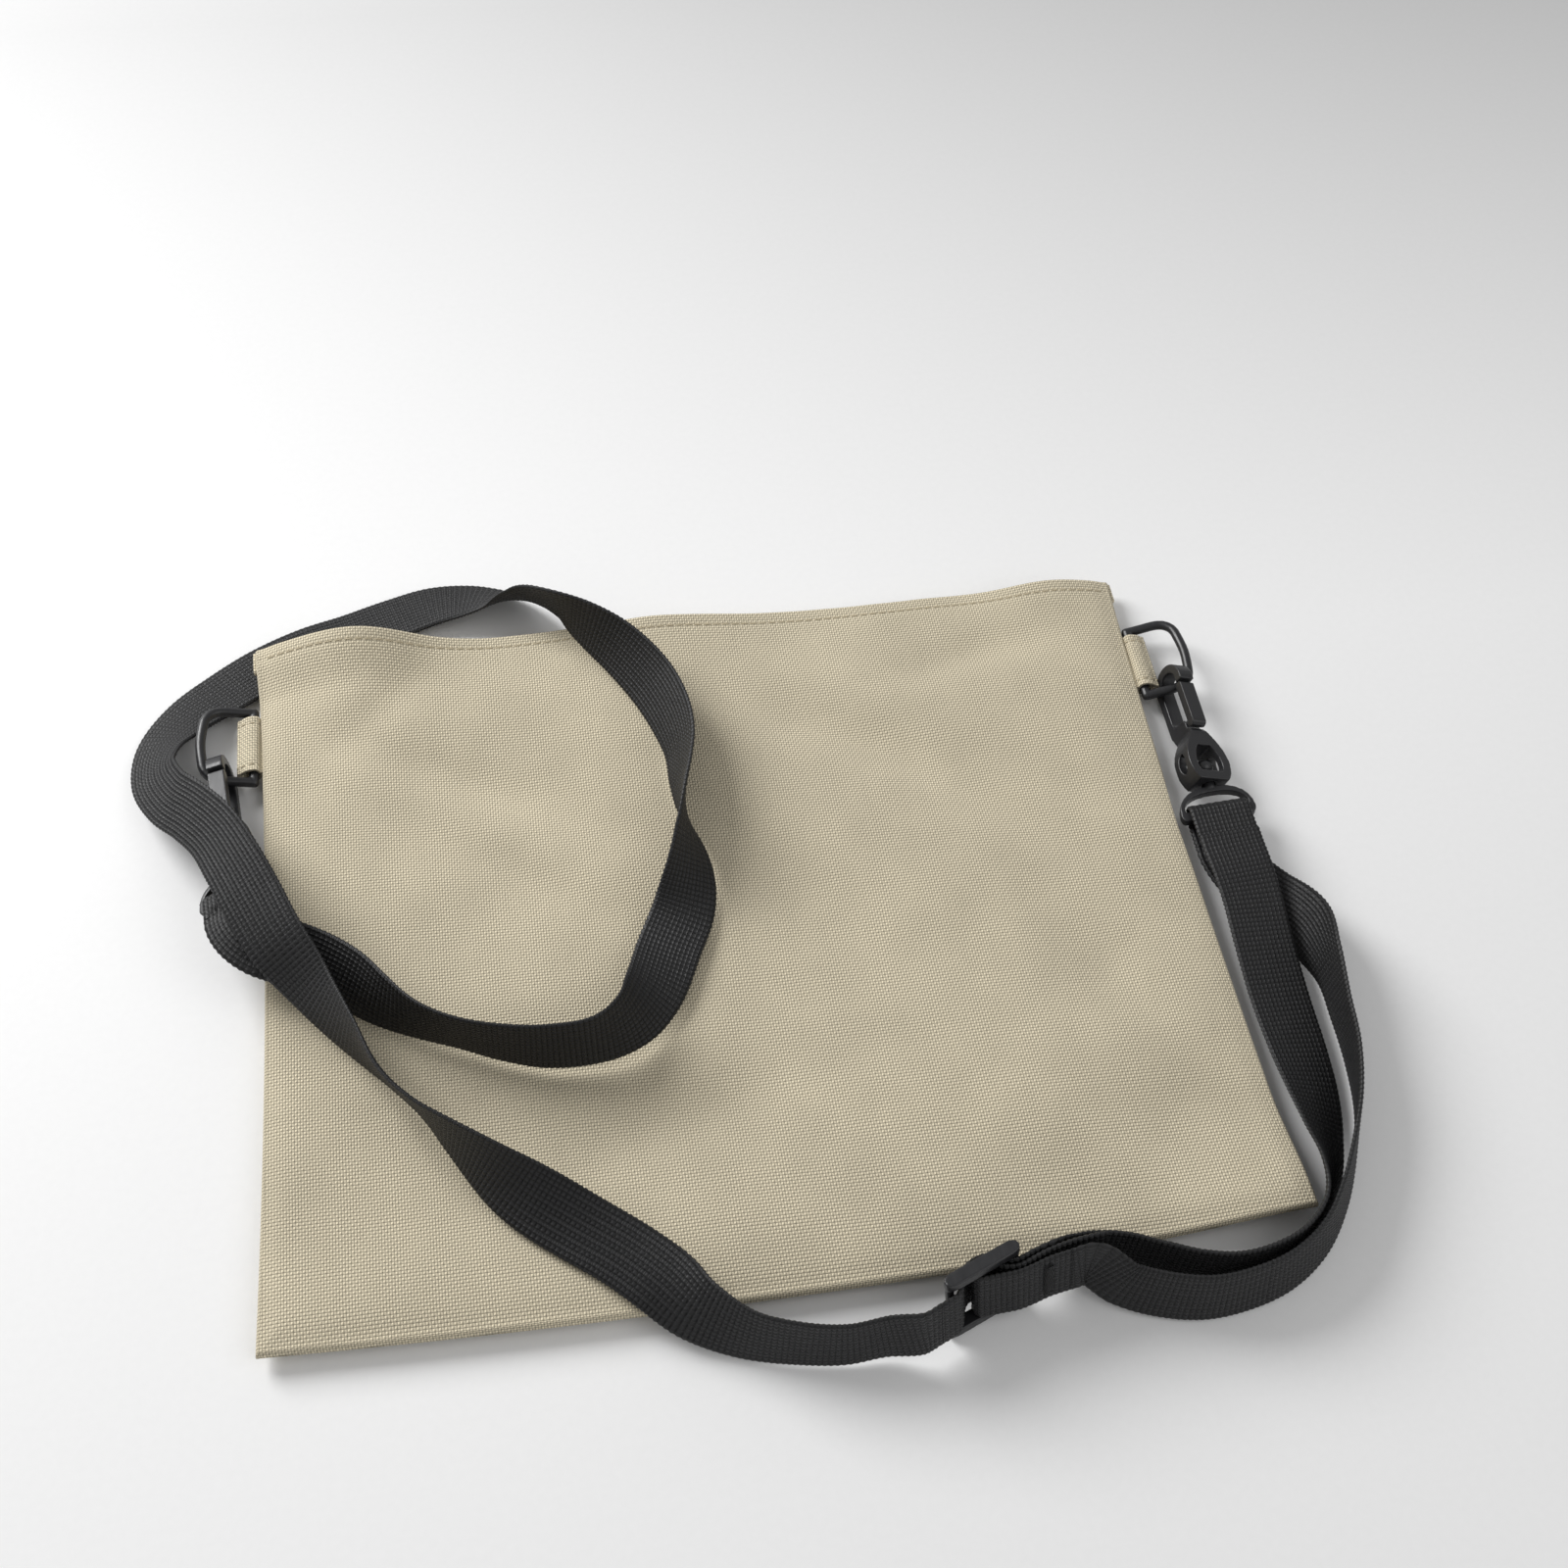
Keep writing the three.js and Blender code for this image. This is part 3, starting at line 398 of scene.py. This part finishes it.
def thread_material(name, colour):
    shade = Shade(name)
    where = shade.node("ShaderNodeTexCoord", output=OBJECT_PLACE)
    ply = shade.node(
        "ShaderNodeTexWave", settings={"bands_direction": "DIAGONAL"},
        Vector=where, Scale=900.0, Distortion=1.5,
    )
    shade.bump(ply, 0.06 * MM, 0.7)
    level = shade.ramp(ply, 0.0, 1.0, 0.8, 1.1)
    return shade.finish(
        Base_Color=shade.tint(colour, level), Roughness=0.6, Sheen_Weight=0.2, Sheen_Roughness=0.4,
    )


def floor_material():
    shade = Shade("white_floor_painted_shade")
    where = shade.node("ShaderNodeTexCoord", output=OBJECT_PLACE)
    grain = shade.noise(where, 420, 3.0)
    level = shade.ramp(grain, 0.3, 0.7, 0.985, 1.0)
    # Painted shade: the flat floor darkens towards the back, down to 0.66 of its colour, in place of
    # a backdrop curving away from the light.
    painted_shade_y = shade.node("ShaderNodeSeparateXYZ", output=Y_PART, Vector=where)
    level = shade.math("MULTIPLY", level, shade.ramp(painted_shade_y, 0.1, 0.5, 1.0, 0.66))
    return shade.finish(Base_Color=shade.tint((0.88, 0.88, 0.88), level), Roughness=0.85)


CLOTH = cloth_material()
WEBBING = webbing_material()
PLASTIC = plastic_material()
THREAD = thread_material("beige_thread", linear(196, 183, 154))
BLACK_THREAD = thread_material("black_thread", linear(30, 30, 31))


# ---------------------------------------------------------------- meshes

def add_mesh(name, points, faces, material, uv=None):
    """A smooth-shaded mesh object; uv gives one pair for each point."""
    mesh = bpy.data.meshes.new(name)
    mesh.from_pydata(points, [], faces)
    mesh.polygons.foreach_set("use_smooth", [True] * len(mesh.polygons))
    mesh.materials.append(material)
    if uv:
        layer = mesh.uv_layers.new(name="UVMap")
        for loop in mesh.loops:
            layer.data[loop.index].uv = uv[loop.vertex_index]
    piece = bpy.data.objects.new(name, mesh)
    bpy.context.scene.collection.objects.link(piece)
    return piece


def apply_modifiers(piece):
    graph = bpy.context.evaluated_depsgraph_get()
    baked = bpy.data.meshes.new_from_object(piece.evaluated_get(graph), depsgraph=graph)
    piece.modifiers.clear()
    piece.data = baked


def ring_faces(first, second, count):
    """Quads between two closed rings of points."""
    return [
        (first + k, first + (k + 1) % count, second + (k + 1) % count, second + k)
        for k in range(count)
    ]


class Threads:
    """Short rods of thread gathered into one mesh."""

    def __init__(self):
        self.points = []
        self.faces = []

    def rod(self, line, radius, sides=6):
        """A rod along a line of points, thinner at its two ends."""
        first = len(self.points)
        last = len(line) - 1
        for index, centre in enumerate(line):
            along = (line[min(index + 1, last)] - line[max(index - 1, 0)]).normalized()
            across = along.orthogonal().normalized()
            upward = along.cross(across)
            size = radius * (0.45 if index in (0, last) else 1.0)
            for k in range(sides):
                angle = math.tau * k / sides
                outward = math.cos(angle) * across + math.sin(angle) * upward
                self.points.append(centre + size * outward)
            if index:
                start = first + (index - 1) * sides
                self.faces += ring_faces(start, start + sides, sides)
        self.faces.append(tuple(reversed(range(first, first + sides))))
        self.faces.append(tuple(range(first + last * sides, first + (last + 1) * sides)))

    def piece(self, name, material):
        return add_mesh(name, self.points, self.faces, material)


# ---------------------------------------------------------------- webbing

def spline(stations, steps=14):
    """Points on a centripetal Catmull-Rom curve through stations of X, Y, Z and tilt."""
    given = [Vector(station) for station in stations]
    given = [2 * given[0] - given[1]] + given + [2 * given[-1] - given[-2]]
    curve = []
    for a, b, c, d in zip(given, given[1:], given[2:], given[3:]):
        before, here, after = (math.sqrt((q - p).xyz.length) for p, q in ((a, b), (b, c), (c, d)))
        leave = here * ((b - a) / before - (c - a) / (before + here) + (c - b) / here)
        arrive = here * ((c - b) / here - (d - b) / (here + after) + (d - c) / after)
        for k in range(steps):
            t = k / steps
            curve.append(
                (2 * t**3 - 3 * t**2 + 1) * b + (t**3 - 2 * t**2 + t) * leave
                + (3 * t**2 - 2 * t**3) * c + (t**3 - t**2) * arrive
            )
    return curve + [given[-2]]


def even_steps(curve, step):
    """The curve again, with points an equal distance apart, and that distance."""
    reached = [0.0]
    for a, b in zip(curve, curve[1:]):
        reached.append(reached[-1] + (b - a).xyz.length)
    count = max(2, round(reached[-1] / step))
    result = []
    index = 0
    for k in range(count + 1):
        goal = reached[-1] * k / count
        while index < len(curve) - 2 and reached[index + 1] < goal:
            index += 1
        span = max(reached[index + 1] - reached[index], 1e-12)
        result.append(curve[index].lerp(curve[index + 1], (goal - reached[index]) / span))
    return result, reached[-1] / count


def direction_at(curve, index):
    after = curve[min(index + 1, len(curve) - 1)]
    return (after - curve[max(index - 1, 0)]).xyz.normalized()


def tilted_frames(curve):
    """Centre, width direction and thickness direction at each point of a tilted route."""
    frames = []
    for index, point in enumerate(curve):
        along = direction_at(curve, index)
        across = Vector((0, 0, 1)).cross(along).normalized()
        across.rotate(Matrix.Rotation(math.radians(point.w), 3, along))
        frames.append((point.xyz, across, along.cross(across)))
    return frames


def band_frames(curve, across, place):
    """The same for a band that keeps one width direction, carried into place by a matrix."""
    turn = place.to_3x3()
    frames = []
    for index, point in enumerate(curve):
        outward = direction_at(curve, index).cross(across)
        frames.append((place @ point.xyz, turn @ across, turn @ outward))
    return frames


def webbing_section():
    """Points round the webbing: place across it, and face (1 front, -1 back, 0 selvedge)."""
    half = WEB_WIDTH / 2 - WEB_EDGE_ROUNDING
    front = [(-half + 2 * half * k / WEB_COLUMNS, 1) for k in range(WEB_COLUMNS + 1)]
    back = [(across, -1) for across, _ in reversed(front)]
    return front + [(WEB_WIDTH / 2, 0)] + back + [(-WEB_WIDTH / 2, 0)]


def ribbon(name, frames, start, step):
    """Woven webbing along the frames, whose ribs are counted from start metres along it."""
    section = webbing_section()
    count = len(section)
    points, faces, uv = [], [], []
    for index, (centre, across, outward) in enumerate(frames):
        reached = start + index * step
        rib = math.cos(math.tau * reached / RIB_PITCH)
        for k, (side, face) in enumerate(section):
            weave = RIB_ON_ODD_COLUMNS if k % 2 else RIB_ON_EVEN_COLUMNS
            width = side
            if face == 0:
                width += SELVEDGE * rib * (1 if side > 0 else -1)
            rise = face * (WEB_HALF_THICK + RIB_HEIGHT * rib * weave)
            points.append(centre + width * across + rise * outward)
            uv.append((side + WEB_WIDTH, reached + RIB_PITCH / 2))
        if index:
            faces += ring_faces((index - 1) * count, index * count, count)
    faces.append(tuple(reversed(range(count))))
    faces.append(tuple(range((len(frames) - 1) * count, len(frames) * count)))
    return add_mesh(name, points, faces, WEBBING, uv)


def slider_matrix():
    """The frame of the slider: X along the webbing, Y across it and Z out of it."""
    lean = Matrix.Rotation(math.radians(SLIDER_LEAN), 4, "X")
    yaw = Matrix.Rotation(math.radians(SLIDER_YAW), 4, "Z")
    return Matrix.Translation(SLIDER_AT) @ yaw @ lean


def slider_stations(places, tilt):
    """Stations of a route that meets the slider."""
    matrix = slider_matrix()
    return [(*(matrix @ Vector((along, 0, out))), tilt) for along, out in places]


def loop_matrix(hook):
    """The frame of a hook's strap loop: Y points along the hook to the ring."""
    lift = math.radians(hook["lift"])
    eye = Vector((
        hook["sign"] * (RING_BAR_X + EYE_FROM_BAR * math.cos(lift)) + SHIFT_X,
        hook["eye_y"] * MM + SHIFT_Y,
        RING_Z + EYE_FROM_BAR * math.sin(lift),
    ))
    turn = Matrix.Rotation(math.radians(hook["yaw"]), 4, "Z")
    turn = turn @ Matrix.Rotation(math.radians(hook["pitch"]), 4, "X")
    foot = eye - turn.to_3x3() @ Vector((0, EYE_Y, 0))
    roll = Matrix.Rotation(math.radians(hook["loop_roll"]), 4, "Y")
    return Matrix.Translation(foot) @ turn @ roll


def strap_part(name, node, frames, step, part):
    """A length of free strap from one share of its route to another."""
    last = len(frames) - 1
    first, final = (round(share * last) for share in part)
    own = frames[first:final + 1]
    piece = ribbon(name, own, first * step, step)
    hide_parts(node)
    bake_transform(piece)
    return piece, own


def make_straps():
    routes = {
        "strap_long": LONG_ROUTE + slider_stations(SLIDER_ENTRY, SLIDER_LEAN),
        "strap_short": slider_stations(SLIDER_EXIT, SLIDER_LEAN) + SHORT_ROUTE,
        "strap_leg": LEG_ROUTE + slider_stations(FOLD_ENTRY, 180 - SLIDER_LEAN),
    }
    # Each route is two parts, cut at this share of it, with a moving body at each end.
    parts = {
        "strap_long": (0.16, "left_hook", "slider"),
        "strap_short": (0.26, "slider", "right_hook"),
        "strap_leg": (0.74, "right_hook", "slider"),
    }
    for name, route in routes.items():
        cut, start_body, end_body = parts[name]
        curve, step = even_steps(spline(route), RIB_PITCH / RIB_STEPS)
        frames = tilted_frames(curve)
        start, start_frames = strap_part(name + "_start", name, frames, step, (0, cut))
        rest, rest_frames = strap_part(name + "_rest", name, frames, step, (cut, 1))
        if name == "strap_long":
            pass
        elif name == "strap_short":
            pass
        else:
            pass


def band_piece(name, points, across, matrix, body, node):
    """Webbing that goes round a bar of the slider or of a loop, and rides with it."""
    stations = [(*point, 0) for point in points]
    curve, step = even_steps(spline(stations), RIB_PITCH / RIB_STEPS)
    piece = ribbon(name, band_frames(curve, across, matrix), 0, step)
    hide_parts(node)
    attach(piece, body)


def bar_tack(name, matrix, middle, size, body, node):
    """A dense zigzag of thread across the webbing."""
    long_axis = 0 if size[0] > size[1] else 1
    short_axis = 1 - long_axis
    line = []
    for k in range(TACK_TURNS + 1):
        side = 1 if k % 2 else -1
        place = list(middle)
        place[long_axis] += size[long_axis] * (k / TACK_TURNS - 0.5)
        place[short_axis] += size[short_axis] * TACK_FILL * side
        line.append(matrix @ Vector(place))
    threads = Threads()
    threads.rod(line, TACK_THREAD)
    piece = threads.piece(name, BLACK_THREAD)
    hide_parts(node)
    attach(piece, body)


def turn_points(tail, reach):
    """Webbing round a loop's bar, in the loop's Y and Z, from its lower layer to its upper."""
    points = list(tail)
    for degrees in range(-90, 91, 22):
        angle = math.radians(degrees)
        y = LOOP_BAR_Y + TURN_RADIUS * math.cos(angle)
        points.append((0, y, TURN_RADIUS * math.sin(angle)))
    points += [(0, LOOP_BAR_Y - share * reach, TURN_RADIUS) for share in (0.25, 0.6, 1.0)]
    return points


def make_loop_bands():
    """The webbing round the two hooks' loops: sewn at the left, passing round at the right."""
    across = Vector((1, 0, 0))
    left_reach, right_reach = TURN_TAILS["left"], TURN_TAILS["right"]
    left, right = loop_matrix(HOOKS["left"]), loop_matrix(HOOKS["right"])
    sewn = [(0, LOOP_BAR_Y - below, height) for below, height in SEWN_TAIL]
    passing = [(0, LOOP_BAR_Y - share * right_reach, -TURN_RADIUS) for share in (1.0, 0.6, 0.25)]
    band_piece(
        "left_strap_fold", turn_points(sewn, left_reach), across, left, "left_swivel",
        "left_strap_end",
    )
    band_piece(
        "right_strap_round", turn_points(passing, right_reach), across, right, "right_swivel",
        "right_strap_turn",
    )
    middle = (0, LOOP_BAR_Y - LOOP_TACK_FROM_BAR, TURN_RADIUS + WEB_HALF_THICK + LOOP_TACK_RISE)
    bar_tack(
        "left_zigzag", left, middle, (TACK_LENGTH, TACK_WIDTH), "left_swivel", "left_bar_tack",
    )


def make_slider_bands():
    """The webbing threaded through the slider, and the end sewn round its middle bar."""
    across = Vector((0, 1, 0))
    slider = slider_matrix()
    threaded = [(along, 0, out) for along, out in THREADED]
    fold = [(along, 0, out) for along, out in FOLD]
    band_piece("slider_threading", threaded, across, slider, "slider", "strap_in_slider")
    band_piece("slider_fold", fold, across, slider, "slider", "strap_fold")
    middle = (SLIDER_TACK_ALONG, 0, SLIDER_TACK_OUT + WEB_HALF_THICK + SLIDER_TACK_RISE)
    bar_tack(
        "slider_zigzag", slider, middle, (TACK_WIDTH, TACK_LENGTH), "slider", "slider_bar_tack",
    )


make_straps()
make_loop_bands()
make_slider_bands()


# ---------------------------------------------------------------- pouch cloth

def smooth(value):
    share = min(max(value, 0.0), 1.0)
    return share * share * (3 - 2 * share)


def bump(value, middle, spread):
    return math.exp(-(((value - middle) / spread) ** 2))


def foot_edge(x):
    return FOOT_Y - FOOT_BOW * (1 - (x / HALF_WIDTH) ** 2)


def seam_nearness(x, y, reach=SEAM_REACH):
    from_side = HALF_WIDTH - abs(x)
    from_foot = y - foot_edge(x)
    return max(math.exp(-((from_side / reach) ** 2)), math.exp(-((from_foot / reach) ** 2)))


def corner_lift(x, y):
    """How far the mouth's left corner and the foot's right corner stand off the floor."""
    mouth = smooth((-x - 88 * MM) / (45 * MM)) * smooth((y - 98 * MM) / (18 * MM))
    foot = smooth((x - 100 * MM) / (45 * MM)) * smooth((-y - 82 * MM) / (34 * MM))
    return CORNER_LIFT * (mouth + foot)


def mouth_wave(x, y):
    """How far the front stands up at its mouth, fading down the panel."""
    waves = sum(height * bump(x, middle * MM, spread * MM) for height, middle, spread in MOUTH_WAVES)
    return MM * waves * math.exp(-(MOUTH_Y - y) / MOUTH_WAVE_FADE)


def creases(x, y):
    """Depth of the shallow valleys pressed into the front."""
    depth = 0.0
    for middle_x, middle_y, degrees, half_length, half_width, deep in CREASES:
        angle = math.radians(degrees)
        away_x, away_y = x - middle_x * MM, y - middle_y * MM
        along = away_x * math.cos(angle) + away_y * math.sin(angle)
        across = away_y * math.cos(angle) - away_x * math.sin(angle)
        depth += deep * bump(along, 0, half_length * MM) * bump(across, 0, half_width * MM)
    return depth * MM


def soft_relief(x, y):
    """Soft dents of cloth that has been folded and laid down, nearly all below zero."""
    slow = noise.noise(Vector((x * 11 + y * 6, y * 16 - x * 5, 3.0)))
    middle = noise.noise(Vector((x * 30, y * 34 + x * 9, 6.0)))
    quick = noise.noise(Vector((x * 80, y * 66, 10.0)))
    return (2.6 * (slow - 0.5) + 1.0 * (middle - 0.5) + 0.16 * (quick - 0.5)) * MM


def stitch_pucker(x, y):
    """The shallow dents that a line of stitches pulls along the hem."""
    pull = 0.75 + 0.25 * math.cos(math.tau * x / STITCH_PITCH)
    return STITCH_DENT * pull * bump(y, MOUTH_Y - STITCH_FROM_MOUTH, 0.9 * MM)


def back_outside(x, y):
    """Height of the back panel's underside."""
    return BACK_LIFT * seam_nearness(x, y) + corner_lift(x, y)


def front_outside(x, y):
    """Height of the front panel's upper face."""
    near = seam_nearness(x, y)
    rounded = SEAM_ROUNDING * seam_nearness(x, y, SEAM_ROUNDING_REACH)
    crown = (FRONT_CROWN + soft_relief(x, y) - creases(x, y)) * (1 - near)
    height = FRONT_TOP - SEAM_DROP * near - rounded + corner_lift(x, y) + mouth_wave(x, y)
    return height + crown - stitch_pucker(x, y)


def crowd_edges(place):
    """Moves places from -1 to 1 closer together near both ends."""
    return 0.45 * place + 0.55 * place * (1.5 - 0.5 * place * place)


RIM_ANGLES = (90, 76, 62, 48, 35, 22, 10)


def panel_columns(count):
    """Stops across a panel: the place from -1 to 1 and how far it has turned over the edge."""
    middle = [(2 * k / count - 1, 0) for k in range(count + 1)]
    rim = [(-1, angle) for angle in RIM_ANGLES]
    return rim + middle + [(1, angle) for angle in reversed(RIM_ANGLES)]


def panel_rows(count):
    """Stops up a panel: place, turn over the foot, turn round the hem, and way back inside it."""
    rows = [(-1, angle, 0, 0) for angle in RIM_ANGLES]
    rows += [(2 * k / count - 1, 0, 0, 0) for k in range(count + 1)]
    rows += [(1, 0, turn, 0) for turn in range(15, 181, 15)]
    rows += [(1, 0, 180, HEM_RETURN * k / 7) for k in range(1, 8)]
    return rows


def rim_width(u, y):
    """How far the rolled edge stands out; it gives way beside the right hook's loop."""
    beside_loop = bump(y, LOOP_DENT_Y, LOOP_DENT_REACH) if u > 0 else 0
    return RIM_WIDTH - LOOP_DENT_DEPTH * beside_loop


def panel_point(column, row, outside, facing):
    """One point of a panel's outer face and its place in the flat cloth."""
    u, side_turn = column
    v, foot_turn, hem_turn, back = row
    height = crowd_edges(v)
    x = HALF_WIDTH * crowd_edges(u) * (1 - WAIST * (1 - height * height))
    foot = foot_edge(x)
    y = foot + (MOUTH_Y - HEM_RADIUS - foot) * (height + 1) / 2 - back
    rim_out = rim_width(u, y)
    depth = (front_outside(x, y) - back_outside(x, y)) / 2 - 0.2 * MM
    side, down, hem = (math.radians(turn) for turn in (side_turn, foot_turn, hem_turn))
    drop = depth * max(1 - math.cos(side), 1 - math.cos(down))
    drop += HEM_RADIUS * (1 - math.cos(hem)) * (1 - 0.5 * (drop / depth))
    spread = rim_out * math.sin(side) * (1 if u > 0 else -1)
    point = Vector((
        x + spread + SHIFT_X,
        y - rim_out * math.sin(down) + HEM_RADIUS * math.sin(hem) + SHIFT_Y,
        outside(x, y) - facing * drop,
    ))
    flat = (x + 2.2 * spread, y + HEM_RADIUS * hem + 2 * back - 2.5 * rim_out * math.sin(down))
    return point, flat


def grid_faces(width, height, turned):
    """Quads of a grid of points laid out row by row."""
    faces = []
    for row in range(height - 1):
        for column in range(width - 1):
            a = row * width + column
            quad = (a, a + 1, a + width + 1, a + width)
            faces.append(tuple(reversed(quad)) if turned else quad)
    return faces


def cloth_piece(name, points, faces, uv):
    """Cloth whose outer face is given, thickened inwards."""
    piece = add_mesh(name, points, faces, CLOTH, uv)
    thick = piece.modifiers.new("cloth", "SOLIDIFY")
    thick.thickness = CLOTH_THICK
    thick.offset = -1
    apply_modifiers(piece)
    return piece


def cloth_panel(name, outside, facing, columns, rows):
    """One panel of the pouch: rolled over its sides and foot, and hemmed at the mouth."""
    across = panel_columns(columns)
    up = panel_rows(rows)
    points, uv = [], []
    for row in up:
        for column in across:
            point, flat = panel_point(column, row, outside, facing)
            points.append(point)
            uv.append(flat)
    return cloth_piece(name, points, grid_faces(len(across), len(up), facing < 0), uv)


# A stitch: share of its pitch, and rise over the cloth in thread widths.
STITCH_LINE = ((0, -0.25), (0.12, 0.1), (0.3, 0.3), (0.6, 0.3), (0.78, 0.1), (0.9, -0.25))


def hem_stitches(name, outside):
    """A row of separate stitches that dip into the hem at both ends."""
    threads = Threads()
    y = MOUTH_Y - STITCH_FROM_MOUTH
    x = -HALF_WIDTH + 3 * MM
    while x < HALF_WIDTH - 4 * MM:
        line = []
        for share, rise in STITCH_LINE:
            at = x + share * STITCH_PITCH
            height = outside(at, y) + rise * 2 * THREAD_RADIUS
            line.append(Vector((at + SHIFT_X, y + SHIFT_Y, height)))
        threads.rod(line, THREAD_RADIUS)
        x += STITCH_PITCH
    return threads.piece(name, THREAD)


def quadratic(a, control, b, steps=7):
    """Points on a quadratic curve from a to b, without a itself."""
    points = []
    for k in range(1, steps + 1):
        t = k / steps
        points.append(tuple(
            (1 - t) ** 2 * p + 2 * t * (1 - t) * q + t * t * r for p, q, r in zip(a, control, b)
        ))
    return points


def tab_outline():
    """The outer line of a tab folded round its ring, away from the pouch and up."""
    upper = [(-2.2 * MM, 1.0 * MM), (-0.9 * MM, 1.0 * MM), (0.3 * MM, 1.0 * MM)]
    upper += quadratic(upper[-1], (0.5 * MM, 3.0 * MM), (2.5 * MM, 3.0 * MM))
    upper += quadratic(upper[-1], (4.9 * MM, 3.0 * MM), (6.6 * MM, 1.1 * MM))
    upper += quadratic(upper[-1], (8.0 * MM, 1.0 * MM), (8.0 * MM, 0.0))
    return upper + [(out, -height) for out, height in reversed(upper[:-1])]


def tab_point(out, height, y, hook):
    """A point of the tab, pinched where its ends are stitched and a little uneven."""
    pinch = 1 - 0.1 * bump(abs(y), TAB_WIDTH / 2 - TAB_STITCH_FROM_EDGE, 1.1 * MM)
    uneven = 1 + 0.05 * noise.noise(Vector((out * 400, y * 260, hook["sign"] * 5)))
    x = hook["sign"] * (HALF_WIDTH + out) + SHIFT_X
    return Vector((x, hook["ring_y"] * MM + SHIFT_Y + y, RING_Z + height * pinch * uneven))


def make_tab_cloth(side, hook):
    outline = tab_outline()
    points, uv = [], []
    walked = 0.0
    before = outline[0]
    for out, height in outline:
        walked += math.hypot(out - before[0], height - before[1])
        before = (out, height)
        for k in range(TAB_COLUMNS + 1):
            y = TAB_WIDTH * (k / TAB_COLUMNS - 0.5)
            points.append(tab_point(out, height, y, hook))
            uv.append((walked, y))
    faces = grid_faces(TAB_COLUMNS + 1, len(outline), hook["sign"] > 0)
    piece = cloth_piece(side + "_tab_cloth", points, faces, uv)
    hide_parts(side + "_tab")
    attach(piece, "pouch")
    return piece


def make_tab_stitches(side, hook):
    """Two rows of four stitches, each between two points of the tab's outline."""
    outline = tab_outline()
    threads = Threads()
    for edge in (-1, 1):
        y = edge * (TAB_WIDTH / 2 - TAB_STITCH_FROM_EDGE)
        for first, last in ((3, 7), (8, 12), (13, 17), (18, 22)):
            line = [
                tab_point(out, height + TAB_STITCH_RISE, y, hook)
                for out, height in outline[first:last]
            ]
            threads.rod(line, THREAD_RADIUS)
    stitches = threads.piece(side + "_tab_stitches", THREAD)
    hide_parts(side + "_tab_stitch")
    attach(stitches, "pouch")
    return stitches


def back_inside(x, y):
    return back_outside(x, y) + 2 * HEM_RADIUS


def make_pouch():
    columns, rows = ((200, 160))
    front = cloth_panel("front_cloth", front_outside, 1, columns, rows)
    back = cloth_panel("back_cloth", back_outside, -1, columns, rows)
    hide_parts("front_panel", "left_seam", "right_seam", "bottom_seam")
    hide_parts("back_panel")
    front_row = hem_stitches("front_hem_stitches", front_outside)
    back_row = hem_stitches("back_hem_stitches", back_inside)
    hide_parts("front_hem_stitch")
    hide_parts("back_hem_stitch")
    for piece in (front_row, back_row):
        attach(piece, "pouch")
    tabs = []
    for side, hook in HOOKS.items():
        tabs += [make_tab_cloth(side, hook), make_tab_stitches(side, hook)]
    for piece, extras in ((front, [front_row] + tabs), (back, [back_row])):
        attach(piece, "pouch")


make_pouch()


# ---------------------------------------------------------------- moulded hardware

def moulded(node, body, voxel):
    """The CAD solid again with the soft edges of an injection moulding."""
    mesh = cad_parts[node].data.copy()
    mesh.materials.clear()
    mesh.materials.append(PLASTIC)
    piece = bpy.data.objects.new(node + "_moulding", mesh)
    bpy.context.scene.collection.objects.link(piece)
    skin = piece.modifiers.new("skin", "REMESH")
    skin.mode = "VOXEL"
    skin.voxel_size = voxel
    skin.use_smooth_shade = True
    soften = piece.modifiers.new("soften", "SMOOTH")
    soften.factor = 0.5
    soften.iterations = SOFTEN_ROUNDS
    apply_modifiers(piece)
    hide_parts(node)
    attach(piece, body)


def make_hardware():
    coarse = 1
    bodies = {"ring": "ring", "hook_body": "hook", "gate": "gate", "swivel": "swivel"}
    for side in HOOKS:
        for kind, body in bodies.items():
            moulded(side + "_" + kind, side + "_" + body, MOULD_VOXELS[kind] * coarse)
    moulded("slider", "slider", MOULD_VOXELS["slider"] * coarse)


make_hardware()


# ---------------------------------------------------------------- floor and light

def make_floor():
    turns = ((-1, -1), (1, -1), (1, 1), (-1, 1))
    corners = [(FLOOR_REACH * x, FLOOR_REACH * y, 0) for x, y in turns]
    floor = add_mesh("white_floor", corners, [(0, 1, 2, 3)], floor_material())
    floor.location.z = FLOOR_Z


def add_light(name, place, size, power):
    """A round lamp that points at the middle of the scene."""
    data = bpy.data.lights.new(name, "AREA")
    data.shape = "DISK"
    data.size = size
    data.energy = power
    light = bpy.data.objects.new(name, data)
    light.location = place
    light.rotation_euler = (-Vector(place)).to_track_quat("-Z", "Y").to_euler()
    bpy.context.scene.collection.objects.link(light)


def light_scene():
    world = bpy.data.worlds.new("studio")
    world.use_nodes = True
    background = world.node_tree.nodes["Background"]
    background.inputs["Color"].default_value = (1, 1, 1, 1)
    background.inputs["Strength"].default_value = SKY_STRENGTH
    bpy.context.scene.world = world
    add_light("key", **KEY_LIGHT)
    add_light("fill", **FILL_LIGHT)
    bpy.context.scene.view_settings.view_transform = "Standard"


make_floor()
light_scene()
